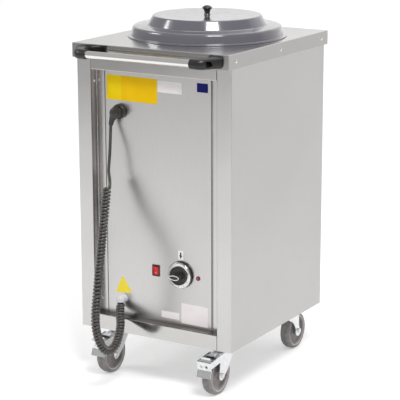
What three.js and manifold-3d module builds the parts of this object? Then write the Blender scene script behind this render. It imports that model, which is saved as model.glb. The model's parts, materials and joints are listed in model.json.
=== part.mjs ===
// Heated plate dispenser cart: a stainless cabinet on four swivel casters, with one sprung
// plate well in its top, a loose cover over the well, a push bar and a recessed control panel.
// Millimetres, +Z up, front towards -Y. The origin is on the floor under the middle of the
// cart with its push bar.
import * as THREE from 'three';
import { mergeVertices } from 'three/addons/utils/BufferGeometryUtils.js';
import Module from 'manifold-3d';

const wasm = await Module();
wasm.setup();

// ---------------------------------------------------------------- driving dimensions

const FIT = 0.3; // gap between faces that touch
const SHEET = 1.2; // stainless sheet
const BEND_RADIUS = 0.8; // inside radius of a fold

const BODY_WIDTH = 450;
const BODY_DEPTH = 487;
const TOP_OVERHANG = 17.5; // top beyond the body, front and back
const APRON_HEIGHT = 37; // folded edge of the top

const POST_WIDTH = 42; // front flange of each side panel
const RECESS_DEPTH = 25; // control panel behind the face of the posts
const LIP_WIDTH = 24; // flange beside the control panel
const HEADER_DROP = 30; // header below the top's apron
const SILL_HEIGHT = 39;
const LEDGE_DEPTH = 43; // header and sill behind their face
const LEDGE_RETURN = 12;
const PANEL_FLANGE = 12;
const PANEL_GAP_LEFT = 2;
const PANEL_GAP_RIGHT = 6;
const REAR_FLANGE = 30;
const REAR_LIP = 15;
const REAR_STEP = 3.6;
const PAN_FLANGE = 25;
const PAN_SHEET = 2;
const PAN_CLEARANCE = 0.5;

const WELL_OFFSET = 20; // well axis behind the middle of the body
const WELL_RADIUS = 160;
const WELL_FLOOR_HEIGHT = 190; // above the floor
const COLLAR_RADIUS = 185;
const COLLAR_DEPTH = 24;
const SLOT_WIDTH = 14;
const HEATER_RADIUS = 120;
const HEATER_ROD = 4;
const HEATER_LIFT = 8; // heater above the well floor

const CARRIER_GAP = 10; // edge of the platform to the tube
const CARRIER_DROP = 30; // empty carrier below the cart's top
const CARRIER_TRAVEL = 440;
const CARRIER_LEG = 170; // platform to arms
const CARRIER_REST = 44; // arms above the well floor with the carrier down
const CARRIER_RIM = 12;
const CARRIER_METAL = 3;
const ARM_WIDTH = 10;
const SPRING_ORBIT = 178; // springs from the well axis
const SPRING_RADIUS = 7;
const SPRING_WIRE = 1.2;
const SPRING_TURNS = 7;
const GUIDE_HEIGHT = 12;

const LID_RIM_RADIUS = 206.6;
const LID_WALL_RADIUS = 194;
const LID_STEP_HEIGHT = 27;
const LID_CROWN_RADIUS = 152;
const LID_TOP_RADIUS = 139;
const LID_HEIGHT = 54;
const LID_WALL = 2.4;
const KNOB_STEM_RADIUS = 6.5;
const KNOB_HEAD_RADIUS = 13.6;
const KNOB_HEIGHT = 22;
const KNOB_DOME = 7.5; // rounded top above the knob's widest part

const BAR_RADIUS = 9;
const BAR_STANDOFF = 47; // bar axis in front of the apron
const BAR_HEIGHT_IN_APRON = 19; // bar axis below the top
const SLEEVE_RADIUS = 12.2;
const SLEEVE_LENGTH = 42.7; // from the middle of a bracket's foot to its inner end
const BRACKET_INSET = 34.5; // middle of a bracket's foot from the side of the top
const BRACKET_FOOT = { width: 38, height: 29 };
const BAR_INSERTION = 20;

const DIAL = { x: 64, z: 301 };
const DIAL_RADIUS = 35;
const DIAL_SKIRT = 8;
const DIAL_BAND = 3;
const GRIP_RADIUS = 24.4;
const GRIP_DEPTH = 5;
const POINTER_NOSE = 18.8; // from the dial's axis
const POINTER_TAIL = 15.8; // from the dial's axis
const POINTER_WIDTH = 14.4;
const POINTER_HEIGHT = 19;
const SPINDLE_RADIUS = 3;
const SWITCH = { x: -10, z: 301.5 };
const SWITCH_WIDTH = 22;
const SWITCH_HEIGHT = 30;
const LAMP = { x: 115, z: 298.6 };
const LAMP_RADIUS = 5;
const GLAND = { x: -109, z: 213 };
const GLAND_RADIUS = 12;
const GLAND_REACH = 17; // socket axis in front of the control panel
const PLUG = { x: -112, z: 703 };
const PLUG_RADIUS = 19;
const PIN_RADIUS = 2.4;
const PIN_SPACING = 19;

const CORD_RADIUS = 3.9;
const COIL_RADIUS = 11.5;

const CASTER_HEIGHT = 128;
const WHEEL_RADIUS = 50;
const TYRE_WIDTH = 27;
const TYRE_DEPTH = 10;
const HUB_RADIUS = 11;
const HUB_CLEARANCE = 1.5; // hub beyond each side of the tyre
const AXLE_RADIUS = 4;
const TRAIL = 35; // wheel axis behind the swivel axis
const FORK_STEEL = 2.5;
const FORK_CLEARANCE = 4.5; // crown above the wheel
const SWIVEL_RADIUS = 29;
const KING_PIN_RADIUS = 5;
const CASTER_PLATE = { width: 85, length: 100, thickness: 3 };
const CASTER_BOLTS = { across: 60, along: 80, radius: 4 };
const CASTER_INSET_SIDE = 65; // swivel axis from the body's side
const CASTER_INSET_END = 70.5; // swivel axis from the body's front or back
const PEDAL_REACH = 98; // toe pad from the swivel axis
const PEDAL_PIVOT = { y: 34.5, z: 101.5 };
const PEDAL_STEEL = 2;

// ---------------------------------------------------------------- derived places

const HALF_WIDTH = BODY_WIDTH / 2;
const CARRIER_RADIUS = WELL_RADIUS - CARRIER_GAP;
const CARRIER_DOWN = WELL_FLOOR_HEIGHT + CARRIER_REST;
const TOP_HEIGHT = CARRIER_DOWN + CARRIER_TRAVEL + CARRIER_LEG + CARRIER_DROP; // above the floor
const FRONT = -BODY_DEPTH / 2;
const BACK = BODY_DEPTH / 2;
const BODY_BOTTOM = CASTER_HEIGHT;
const BODY_TOP = TOP_HEIGHT - SHEET - FIT;
const TOP_HALF_WIDTH = HALF_WIDTH + FIT + SHEET;
const BRACKET_CENTRE = TOP_HALF_WIDTH - BRACKET_INSET; // from the middle of the cart
const TOP_HALF_DEPTH = BODY_DEPTH / 2 + TOP_OVERHANG;
const APRON_BOTTOM = TOP_HEIGHT - APRON_HEIGHT;
const HEADER_BOTTOM = APRON_BOTTOM - HEADER_DROP;
const SILL_TOP = BODY_BOTTOM + SILL_HEIGHT;
const POST_INNER = HALF_WIDTH - POST_WIDTH;
const PANEL_FACE = FRONT + RECESS_DEPTH;
const PANEL_LEFT = -(POST_INNER - LIP_WIDTH) + PANEL_GAP_LEFT;
const PANEL_RIGHT = POST_INNER - LIP_WIDTH - PANEL_GAP_RIGHT;
const LEDGE_BACK = FRONT + LEDGE_DEPTH;
const SHEET_BEHIND_PANEL = PANEL_FACE + SHEET;
const PAN_TOP = BODY_BOTTOM + PAN_SHEET;
const APRON_FACE = -TOP_HALF_DEPTH;
const BAR_Y = APRON_FACE - BAR_STANDOFF;
const BAR_Z = TOP_HEIGHT - BAR_HEIGHT_IN_APRON;
const FRONT_REACH = TOP_HALF_DEPTH + BAR_STANDOFF + SLEEVE_RADIUS;
const MIDDLE_SHIFT = (FRONT_REACH - TOP_HALF_DEPTH) / 2;

const STEEL_COLOUR = 0xc6c5c3;
const finish = (color, roughness, metalness) =>
  new THREE.MeshStandardMaterial({ color, roughness, metalness });
const polished = () => finish(STEEL_COLOUR, 0.3, 1);
const zinc = () => finish(0xdfe3e6, 0.35, 1);
const plastic = (color, roughness = 0.5) => finish(color, roughness, 0);
const BLACK = 0x1c1c1d;

// ---------------------------------------------------------------- solid helpers

function signedVolume(points, triangles) {
  const [a, b, c] = [new THREE.Vector3(), new THREE.Vector3(), new THREE.Vector3()];
  let volume = 0;
  for (let i = 0; i < triangles.length; i += 3) {
    a.fromArray(points, triangles[i] * 3);
    b.fromArray(points, triangles[i + 1] * 3);
    c.fromArray(points, triangles[i + 2] * 3);
    volume += a.dot(b.cross(c)) / 6;
  }
  return volume;
}

// A closed geometry as a manifold solid with its faces pointing out.
function toSolid(geometry) {
  const bare = geometry.clone();
  bare.deleteAttribute('normal');
  bare.deleteAttribute('uv');
  const merged = mergeVertices(bare, 1e-4);
  const points = new Float32Array(merged.attributes.position.array);
  const triangles = [];
  for (let i = 0; i < merged.index.count; i += 3) {
    const [a, b, c] = [0, 1, 2].map((k) => merged.index.getX(i + k));
    if (a !== b && b !== c && a !== c) triangles.push(a, b, c);
  }
  if (signedVolume(points, triangles) < 0) {
    for (let i = 0; i < triangles.length; i += 3) {
      [triangles[i], triangles[i + 1]] = [triangles[i + 1], triangles[i]];
    }
  }
  const triVerts = new Uint32Array(triangles);
  return new wasm.Manifold(new wasm.Mesh({ numProp: 3, vertProperties: points, triVerts }));
}

function toGeometry(solid) {
  const mesh = solid.getMesh();
  const geometry = new THREE.BufferGeometry();
  geometry.setAttribute('position', new THREE.BufferAttribute(new Float32Array(mesh.vertProperties), 3));
  geometry.setIndex(new THREE.BufferAttribute(new Uint32Array(mesh.triVerts), 1));
  geometry.computeVertexNormals();
  return geometry;
}

const join = (...parts) => toGeometry(parts.map(toSolid).reduce((a, b) => a.add(b)));
const cut = (body, ...tools) =>
  toGeometry(tools.reduce((solid, tool) => solid.subtract(toSolid(tool)), toSolid(body)));
const common = (a, b) => toGeometry(toSolid(a).intersect(toSolid(b)));

function block(x0, x1, y0, y1, z0, z1) {
  const box = new THREE.BoxGeometry(x1 - x0, y1 - y0, z1 - z0);
  return box.translate((x0 + x1) / 2, (y0 + y1) / 2, (z0 + z1) / 2);
}

// Outlines are drawn in two axes of the cart and pulled along the third.
const ALONG_X = new THREE.Matrix4().makeBasis(
  new THREE.Vector3(0, 1, 0), new THREE.Vector3(0, 0, 1), new THREE.Vector3(1, 0, 0));
const ALONG_Y = new THREE.Matrix4().makeBasis(
  new THREE.Vector3(1, 0, 0), new THREE.Vector3(0, 0, 1), new THREE.Vector3(0, -1, 0));

function pull(shape, depth, curveSegments = 5) {
  return new THREE.ExtrudeGeometry(shape, { depth, bevelEnabled: false, curveSegments });
}

const pullX = (shape, x0, x1) => pull(shape, x1 - x0).applyMatrix4(ALONG_X).translate(x0, 0, 0);
const pullY = (shape, y0, y1) => pull(shape, y1 - y0).applyMatrix4(ALONG_Y).translate(0, y1, 0);
const pullZ = (shape, z0, z1) => pull(shape, z1 - z0).translate(0, 0, z0);

const outline = (points) => new THREE.Shape(points.map(([a, b]) => new THREE.Vector2(a, b)));

function roundedBox(width, height, radius) {
  const [w, h] = [width / 2, height / 2];
  const shape = new THREE.Shape();
  shape.absarc(w - radius, h - radius, radius, 0, Math.PI / 2);
  shape.absarc(-w + radius, h - radius, radius, Math.PI / 2, Math.PI);
  shape.absarc(-w + radius, -h + radius, radius, Math.PI, 1.5 * Math.PI);
  shape.absarc(w - radius, -h + radius, radius, 1.5 * Math.PI, 2 * Math.PI);
  return shape;
}

// A profile of [radius, height] points turned about +Z.
function turned(profile, sides = 24) {
  const points = profile.map(([r, z]) => new THREE.Vector2(r, z));
  return new THREE.LatheGeometry(points, sides).rotateX(Math.PI / 2);
}

const closed = (profile) => [...profile, profile[0]];

// The same about the X axis, heights becoming x, and about the Y axis, heights going to the front.
const turnedX = (profile, sides) => turned(profile, sides).rotateY(Math.PI / 2);
const turnedForward = (profile, sides) => turned(profile, sides).rotateX(Math.PI / 2);

const disc = (radius, z0, z1, sides = 16) => turned([[0, z0], [radius, z0], [radius, z1], [0, z1]], sides);

function rodAlong(axis, radius, from, to, sides = 12) {
  const profile = [[0, from], [radius, from], [radius, to], [0, to]];
  if (axis === 'x') return turnedX(profile, sides);
  if (axis === 'y') return turned(profile, sides).rotateX(-Math.PI / 2);
  return turned(profile, sides);
}

// Radius of a many-sided hole whose flats clear a round shaft.
const around = (radius, sides) => (radius + FIT) / Math.cos(Math.PI / sides);

const left = (d) => new THREE.Vector2(-d.y, d.x);

// Points of the arc that rounds the corner b of the path a-b-c.
function roundedCorner(a, b, c, radius, steps) {
  const before = b.clone().sub(a).normalize();
  const after = c.clone().sub(b).normalize();
  const turn = Math.atan2(before.cross(after), before.dot(after));
  if (Math.abs(turn) < 1e-6 || radius <= 0) return [b.clone()];
  const trim = radius * Math.tan(Math.abs(turn) / 2);
  const start = b.clone().addScaledVector(before, -trim);
  const centre = start.clone().addScaledVector(left(before), Math.sign(turn) * radius);
  const first = start.sub(centre);
  return Array.from({ length: steps + 1 }, (_, i) =>
    centre.clone().add(first.clone().rotateAround(new THREE.Vector2(), (turn * i) / steps)));
}

// Closed outline of a folded sheet. The path is its outer face, with the metal on the left.
function foldedPoints(path, thickness, radii = BEND_RADIUS, steps = 2) {
  const outer = path.map(([a, b]) => new THREE.Vector2(a, b));
  const last = outer.length - 1;
  const heading = (i) => outer[i + 1].clone().sub(outer[i]).normalize();
  const inner = outer.map((point, i) => {
    const before = heading(Math.max(i - 1, 0));
    const after = heading(Math.min(i, last - 1));
    const mitre = left(before).add(left(after));
    return point.clone().addScaledVector(mitre, (2 * thickness) / mitre.lengthSq());
  });
  const faces = [[], []];
  for (let i = 0; i <= last; i += 1) {
    if (i === 0 || i === last) {
      faces[0].push(outer[i]);
      faces[1].push(inner[i]);
      continue;
    }
    const radius = Array.isArray(radii) ? radii[i - 1] : radii;
    const turnsLeft = heading(i - 1).cross(heading(i)) > 0;
    const spans = turnsLeft ? [radius + thickness, radius] : [radius, radius + thickness];
    [outer, inner].forEach((line, k) => {
      faces[k].push(...roundedCorner(line[i - 1], line[i], line[i + 1], spans[k], steps));
    });
  }
  return [...faces[0], ...faces[1].reverse()];
}

const folded = (path, thickness = SHEET, radii = BEND_RADIUS) =>
  new THREE.Shape(foldedPoints(path, thickness, radii));

// A circle of points square to a heading.
function ringAcross(centre, heading, radius, sides) {
  const sideways = new THREE.Vector3(0, 1, 0).cross(heading).normalize();
  const upwards = heading.clone().cross(sideways);
  return Array.from({ length: sides }, (_, i) => {
    const angle = (2 * Math.PI * i) / sides;
    return centre.clone().addScaledVector(sideways, radius * Math.cos(angle))
      .addScaledVector(upwards, radius * Math.sin(angle));
  });
}

// A closed skin over rings of points that all have the same count.
function lofted(rings) {
  const count = rings[0].length;
  const points = rings.flat();
  const triangles = [];
  for (let r = 0; r < rings.length - 1; r += 1) {
    for (let i = 0; i < count; i += 1) {
      const [a, b] = [r * count + i, r * count + ((i + 1) % count)];
      triangles.push(a, b, b + count, a, b + count, a + count);
    }
  }
  for (let i = 1; i < count - 1; i += 1) {
    const end = (rings.length - 1) * count;
    triangles.push(0, i + 1, i, end, end + i, end + i + 1);
  }
  const geometry = new THREE.BufferGeometry().setFromPoints(points);
  geometry.setIndex(triangles);
  return toGeometry(toSolid(geometry));
}

function tube(points, radius, sides, steps) {
  const path = new THREE.CatmullRomCurve3(points.map((p) => new THREE.Vector3(...p)), false, 'centripetal');
  const section = outline(Array.from({ length: sides }, (_, i) => {
    const angle = (2 * Math.PI * i) / sides;
    return [radius * Math.cos(angle), radius * Math.sin(angle)];
  }));
  return new THREE.ExtrudeGeometry(section, { steps, extrudePath: path, bevelEnabled: false });
}

const mirrorX = (geometry) => toGeometry(toSolid(geometry.clone().scale(-1, 1, 1)));

const cart = new THREE.Group();
cart.position.y = MIDDLE_SHIFT;

function place(parent, name, geometry, material, position = [0, 0, 0]) {
  const mesh = new THREE.Mesh(geometry, material);
  mesh.name = name;
  mesh.position.set(...position);
  parent.add(mesh);
  return mesh;
}

// ---------------------------------------------------------------- cabinet

const POST_SCREW_INSET = 31;

// The head of a rivet or screw, standing on the plane z = 0 and sunk a little into its sheet.
const buttonHead = (radius) => turned([
  [0, -SHEET / 2], [radius, -SHEET / 2], [radius, 0], [radius * 0.7, radius * 0.45], [0, radius * 0.5]], 6);

// The right side panel: lip, recess wall, post, side, rear flange, step and lip in one sheet,
// with the heads of the screws in its recess wall.
function sidePanel() {
  const rearFlange = HALF_WIDTH - REAR_FLANGE;
  const section = folded([
    [POST_INNER - LIP_WIDTH, PANEL_FACE],
    [POST_INNER, PANEL_FACE],
    [POST_INNER, FRONT],
    [HALF_WIDTH, FRONT],
    [HALF_WIDTH, BACK],
    [rearFlange, BACK],
    [rearFlange, BACK - REAR_STEP],
    [rearFlange - REAR_LIP, BACK - REAR_STEP],
  ]);
  const wall = pullZ(section, BODY_BOTTOM, BODY_TOP);
  const behindSill = block(0, POST_INNER + 3 * SHEET, FRONT + SHEET, SHEET_BEHIND_PANEL + 1,
    BODY_BOTTOM - 1, SILL_TOP + FIT);
  const behindHeader = block(0, POST_INNER - FIT / 2, FRONT + SHEET, SHEET_BEHIND_PANEL + 1,
    HEADER_BOTTOM - FIT, BODY_TOP + 1);
  const screws = [HEADER_BOTTOM - POST_SCREW_INSET, SILL_TOP + POST_SCREW_INSET].map((z) =>
    buttonHead(3.6).rotateY(-Math.PI / 2).translate(POST_INNER, FRONT + 0.62 * RECESS_DEPTH, z));
  return join(cut(wall, behindSill, behindHeader), ...screws);
}

const rightSide = sidePanel();
place(cart, 'right_side_panel', rightSide, polished());
place(cart, 'left_side_panel', mirrorX(rightSide), polished());

const RAIL_END = POST_INNER - FIT;
const headerSection = folded([
  [FRONT, BODY_TOP], [FRONT, HEADER_BOTTOM], [LEDGE_BACK, HEADER_BOTTOM],
  [LEDGE_BACK, HEADER_BOTTOM + LEDGE_RETURN],
]);
place(cart, 'front_header', pullX(headerSection, -RAIL_END, RAIL_END), polished());

const sillSection = folded([
  [LEDGE_BACK, SILL_TOP - LEDGE_RETURN], [LEDGE_BACK, SILL_TOP], [FRONT, SILL_TOP], [FRONT, BODY_BOTTOM],
]);
place(cart, 'front_sill', pullX(sillSection, -RAIL_END, RAIL_END), polished());

const casterSpots = [[-1, -1], [1, -1], [-1, 1], [1, 1]].map(([side, end]) => ({
  name: `${end < 0 ? 'front' : 'rear'}_${side < 0 ? 'left' : 'right'}`,
  x: side * (HALF_WIDTH - CASTER_INSET_SIDE),
  y: end * (BODY_DEPTH / 2 - CASTER_INSET_END),
  braked: end < 0,
}));

const boltSpots = (spot) => [[-1, -1], [1, -1], [-1, 1], [1, 1]].map(([a, b]) => [
  spot.x + (a * CASTER_BOLTS.across) / 2, spot.y + (b * CASTER_BOLTS.along) / 2]);

const boltHole = (z0, z1) => ([x, y]) => disc(CASTER_BOLTS.radius + 2 * FIT, z0, z1, 6).translate(x, y, 0);

// The floor of the cabinet: a shallow pan that carries the casters and the well.
function basePan() {
  const edge = HALF_WIDTH - SHEET - PAN_CLEARANCE;
  const front = FRONT + SHEET + PAN_CLEARANCE;
  const back = BACK - REAR_STEP - SHEET - PAN_CLEARANCE;
  const outer = block(-edge, edge, front, back, BODY_BOTTOM, BODY_BOTTOM + PAN_FLANGE);
  const inner = block(-edge + PAN_SHEET, edge - PAN_SHEET, front + PAN_SHEET, back - PAN_SHEET,
    PAN_TOP, BODY_BOTTOM + PAN_FLANGE + 1);
  const holes = casterSpots.flatMap(boltSpots).map(boltHole(BODY_BOTTOM - 1, PAN_TOP + 1));
  return cut(outer, inner, ...holes);
}
place(cart, 'base_pan', basePan(), polished());

const BACK_SHEET = BACK - REAR_STEP + FIT;
const BACK_EDGE = HALF_WIDTH - REAR_FLANGE - FIT;

function backPanel() {
  const sheet = block(-BACK_EDGE, BACK_EDGE, BACK_SHEET, BACK_SHEET + SHEET, BODY_BOTTOM, BODY_TOP);
  const screws = [-1, 1].flatMap((side) => [0.06, 0.5, 0.94].map((share) =>
    buttonHead(4).rotateX(-Math.PI / 2).translate(side * (BACK_EDGE - REAR_LIP / 2), BACK_SHEET + SHEET,
      BODY_BOTTOM + share * (BODY_TOP - BODY_BOTTOM))));
  return join(sheet, ...screws);
}
place(cart, 'back_panel', backPanel(), polished());

// ---------------------------------------------------------------- top

const WELL_SIDES = 30;
const WELL_OUTER = WELL_RADIUS + SHEET;
const HOLE_RADIUS = WELL_OUTER + FIT;
const HANDLE_SCREW = 3;
const RIVET_INSET = 36;

// The folded top with its well hole and, in each side apron, the heads of three rivets.
function topPlate() {
  const [w, d] = [TOP_HALF_WIDTH, TOP_HALF_DEPTH];
  const outer = block(-w, w, -d, d, APRON_BOTTOM, TOP_HEIGHT);
  const inside = block(-w + SHEET, w - SHEET, -d + SHEET, d - SHEET,
    APRON_BOTTOM + SHEET, TOP_HEIGHT - SHEET);
  const mouth = block(-w + SHEET, w - SHEET, FRONT - 1, BACK + 1, APRON_BOTTOM - 1, APRON_BOTTOM + 2 * SHEET);
  const hole = disc(HOLE_RADIUS, TOP_HEIGHT - 2 * SHEET, TOP_HEIGHT + 1, WELL_SIDES)
    .translate(0, WELL_OFFSET, 0);
  const screwHoles = [-1, 1].map((side) =>
    rodAlong('y', HANDLE_SCREW + FIT, -d - 1, -d + 2 * SHEET, 8).translate(side * BRACKET_CENTRE, 0, BAR_Z));
  const rivets = [-1, 1].flatMap((side) => [-d + RIVET_INSET, 0, d - RIVET_INSET].map((y) =>
    buttonHead(3.5).rotateY((side * Math.PI) / 2).translate(side * w, y, TOP_HEIGHT - APRON_HEIGHT / 2)));
  return join(cut(outer, inside, mouth, hole, ...screwHoles), ...rivets);
}
place(cart, 'top_plate', topPlate(), polished());

// ---------------------------------------------------------------- push bar

const SLEEVE_END = BRACKET_CENTRE - SLEEVE_LENGTH;
const BAR_END = SLEEVE_END + BAR_INSERTION;
place(cart, 'push_bar', rodAlong('x', BAR_RADIUS, -BAR_END, BAR_END, 16), polished(), [0, BAR_Y, BAR_Z]);

// One moulded elbow: a round sleeve over the bar's end, turning outwards into a slanted leg
// that widens to a foot on the apron.
function barBracket() {
  const sides = 16;
  const footReach = BAR_STANDOFF - FIT;
  const bend = 17;
  const slant = 1.2;
  const ring = (centre, across, half, height, power) => Array.from({ length: sides }, (_, i) => {
    const angle = (2 * Math.PI * i) / sides;
    const round = (value) => Math.sign(value) * Math.abs(value) ** power;
    const point = centre.clone().addScaledVector(across, half * round(Math.cos(angle)));
    point.z += height * round(Math.sin(angle));
    return point;
  });
  const rings = [];
  const station = (x, y, heading, half, height, power) => {
    const across = new THREE.Vector3(Math.sin(heading), -Math.cos(heading), 0);
    rings.push(ring(new THREE.Vector3(x, y, 0), across, half, height, power));
  };
  const bendStart = SLEEVE_END + 0.3 * SLEEVE_LENGTH;
  station(SLEEVE_END, 0, 0, SLEEVE_RADIUS - 1, SLEEVE_RADIUS - 1, 1);
  station(SLEEVE_END + 2, 0, 0, SLEEVE_RADIUS, SLEEVE_RADIUS, 1);
  station(bendStart, 0, 0, SLEEVE_RADIUS, SLEEVE_RADIUS, 1);
  const turns = 3;
  for (let i = 1; i <= turns; i += 1) {
    const share = i / turns;
    const angle = share * slant;
    station(bendStart + bend * Math.sin(angle), bend * (1 - Math.cos(angle)), angle,
      SLEEVE_RADIUS + share, SLEEVE_RADIUS + share, 1 - 0.35 * share);
  }
  const { width, height } = BRACKET_FOOT;
  station(BRACKET_CENTRE - 1.5, footReach - 9, 1.4, width / 2 - 2, height / 2 - 0.6, 0.6);
  station(BRACKET_CENTRE, footReach - 1, Math.PI / 2, width / 2, height / 2, 0.55);
  station(BRACKET_CENTRE, footReach, Math.PI / 2, width / 2, height / 2, 0.55);
  const bore = rodAlong('x', BAR_RADIUS + FIT, SLEEVE_END - 5, BAR_END + FIT, 16);
  const counterbore = rodAlong('y', 6, -40, footReach - 12, 12).translate(BRACKET_CENTRE, 0, 0);
  const screwHole = rodAlong('y', HANDLE_SCREW + FIT, -40, footReach + 5, 8).translate(BRACKET_CENTRE, 0, 0);
  return cut(lofted(rings), bore, counterbore, screwHole);
}

const rightBracket = barBracket();
place(cart, 'bar_bracket_right', rightBracket, plastic(BLACK, 0.45), [0, BAR_Y, BAR_Z]);
place(cart, 'bar_bracket_left', mirrorX(rightBracket), plastic(BLACK, 0.45), [0, BAR_Y, BAR_Z]);

// A pan-head screw in each counterbore holds the bracket to the apron.
const bracketScrew = turned([
  [0, -12 - 2 * SHEET], [HANDLE_SCREW, -12 - 2 * SHEET], [HANDLE_SCREW, 0], [5.2, 0],
  [4.2, 2.5], [0, 3.4]], 8).rotateX(Math.PI / 2);
for (const [name, side] of [['left', -1], ['right', 1]]) {
  place(cart, `bar_bracket_screw_${name}`, bracketScrew, zinc(),
    [side * BRACKET_CENTRE, APRON_FACE - FIT - 12 - FIT, BAR_Z]);
}

// ---------------------------------------------------------------- plate well

const well = new THREE.Group();
well.position.y = WELL_OFFSET;
cart.add(well);

const THIRDS = [90, 210, 330].map((degrees) => (degrees * Math.PI) / 180);
const CARRIER_TOP = TOP_HEIGHT - CARRIER_DROP;
const ARM_TOP = CARRIER_TOP - CARRIER_LEG;
const ARM_BOTTOM = ARM_TOP - CARRIER_METAL;
const HANGER_HEIGHT = TOP_HEIGHT - COLLAR_DEPTH + 6;
const ARM_END = SPRING_ORBIT + SPRING_RADIUS + 2;

// The fixed tube, with a slot for each carrier arm and a hanger for each spring.
function wellTube() {
  const bottom = WELL_FLOOR_HEIGHT + FIT;
  const top = TOP_HEIGHT - SHEET - FIT;
  const wall = turned(closed([
    [WELL_RADIUS, bottom], [WELL_OUTER, bottom], [WELL_OUTER, top], [WELL_RADIUS, top]]), WELL_SIDES);
  const slotBottom = ARM_BOTTOM - CARRIER_TRAVEL - 4;
  const slotTop = ARM_TOP + GUIDE_HEIGHT + 6;
  const slots = THIRDS.map((angle) => block(
    WELL_RADIUS - 12, WELL_OUTER + 6, -SLOT_WIDTH / 2, SLOT_WIDTH / 2, slotBottom, slotTop).rotateZ(angle));
  const hangers = THIRDS.map((angle) => toSolid(
    block(WELL_OUTER - SHEET / 2, SPRING_ORBIT + 5, -8, 8, HANGER_HEIGHT, HANGER_HEIGHT + 2).rotateZ(angle)));
  return toGeometry(hangers.reduce((solid, hanger) => solid.add(hanger), toSolid(cut(wall, ...slots))));
}
place(well, 'well_tube', wellTube(), polished());

const COLLAR_INNER = WELL_RADIUS - FIT - SHEET;
const collarSection = foldedPoints([
  [COLLAR_RADIUS, TOP_HEIGHT + FIT + SHEET], [COLLAR_INNER, TOP_HEIGHT + FIT + SHEET],
  [COLLAR_INNER, TOP_HEIGHT - COLLAR_DEPTH]], SHEET, 1.2, 1).map((p) => [p.x, p.y]);
place(well, 'well_collar', turned(closed(collarSection), WELL_SIDES), polished());

// The dished floor of the well on three feet, with saddles for the heater and holes for its ends.
const HEATER_END = { x: 14, y: -HEATER_RADIUS };
function wellFloor() {
  const radius = WELL_RADIUS - FIT;
  const plateBottom = WELL_FLOOR_HEIGHT - SHEET;
  const rim = turned(closed([
    [radius - SHEET, plateBottom], [radius, plateBottom], [radius, WELL_FLOOR_HEIGHT + 20],
    [radius - SHEET, WELL_FLOOR_HEIGHT + 20]]), WELL_SIDES);
  const floor = disc(radius + SHEET, plateBottom - SHEET, WELL_FLOOR_HEIGHT, WELL_SIDES);
  const feet = THIRDS.map((angle) =>
    block(WELL_RADIUS - 60, WELL_RADIUS - 30, -12, 12, PAN_TOP + FIT, plateBottom).rotateZ(angle));
  const hollows = THIRDS.map((angle) =>
    block(WELL_RADIUS - 61, WELL_RADIUS - 32, -10, 10, PAN_TOP + FIT + 2, plateBottom - 3).rotateZ(angle));
  const saddles = THIRDS.map((angle) => block(HEATER_RADIUS - 7, HEATER_RADIUS + 7, -5, 5,
    WELL_FLOOR_HEIGHT - 1, WELL_FLOOR_HEIGHT + HEATER_LIFT - FIT).rotateZ(angle + Math.PI / 3 + 0.5));
  const holes = [-1, 1].map((side) => disc(HEATER_ROD + 4, plateBottom - 10, WELL_FLOOR_HEIGHT + 1, 8)
    .translate(side * HEATER_END.x, HEATER_END.y, 0));
  return cut(join(rim, floor, ...feet, ...saddles), ...hollows, ...holes);
}
place(well, 'well_floor', wellFloor(), polished());

// The tubular heater: one open ring above the floor, its two ends bent down through it.
function heater() {
  const z = WELL_FLOOR_HEIGHT + HEATER_LIFT + HEATER_ROD;
  const bend = 10;
  const open = Math.atan2(HEATER_END.x + bend, HEATER_RADIUS);
  const [start, stop] = [open - Math.PI / 2, 1.5 * Math.PI - open];
  const tip = (side, height) => [side * HEATER_END.x, HEATER_END.y, height];
  const pieces = 18;
  const arc = Array.from({ length: pieces + 1 }, (_, i) => {
    const angle = start + ((stop - start) * i) / pieces;
    return [HEATER_RADIUS * Math.cos(angle), HEATER_RADIUS * Math.sin(angle), z];
  });
  const ends = [1, -1].map((side) => [tip(side, WELL_FLOOR_HEIGHT - 25), tip(side, z - bend)]);
  return tube([...ends[0], ...arc, ...ends[1].reverse()], HEATER_ROD, 6, 30);
}
place(well, 'heating_element', heater(), zinc());

// The sprung carrier: platform with a turned-down rim, three legs, lower ring and three arms.
function plateCarrier() {
  const rim = turned([
    [0, CARRIER_TOP - CARRIER_METAL], [CARRIER_RADIUS - CARRIER_METAL, CARRIER_TOP - CARRIER_METAL],
    [CARRIER_RADIUS - CARRIER_METAL, CARRIER_TOP - CARRIER_RIM], [CARRIER_RADIUS, CARRIER_TOP - CARRIER_RIM],
    [CARRIER_RADIUS, CARRIER_TOP - 2], [CARRIER_RADIUS - 2, CARRIER_TOP], [0, CARRIER_TOP]], 24);
  const ring = turned(closed([
    [CARRIER_RADIUS - 16, ARM_BOTTOM], [CARRIER_RADIUS, ARM_BOTTOM], [CARRIER_RADIUS, ARM_TOP],
    [CARRIER_RADIUS - 16, ARM_TOP]]), 24);
  const legs = THIRDS.map((angle) =>
    block(CARRIER_RADIUS - 12, CARRIER_RADIUS - 9, -12, 12, ARM_TOP - 1, CARRIER_TOP - 2).rotateZ(angle));
  const arms = THIRDS.map((angle) =>
    block(CARRIER_RADIUS - 8, ARM_END, -ARM_WIDTH / 2, ARM_WIDTH / 2, ARM_BOTTOM, ARM_TOP).rotateZ(angle));
  return join(rim, ring, ...legs, ...arms);
}
place(well, 'plate_carrier', plateCarrier(), polished());

// A nylon shoe on each arm runs along the inside of the tube.
function carrierGuide(angle) {
  const face = WELL_RADIUS * Math.cos(Math.PI / WELL_SIDES) - 2 * FIT;
  const depth = face - CARRIER_RADIUS + 4;
  const shoe = pull(roundedBox(depth, 18, 2), GUIDE_HEIGHT, 2);
  return shoe.translate(face - depth / 2, 0, ARM_TOP + FIT).rotateZ(angle);
}

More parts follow.
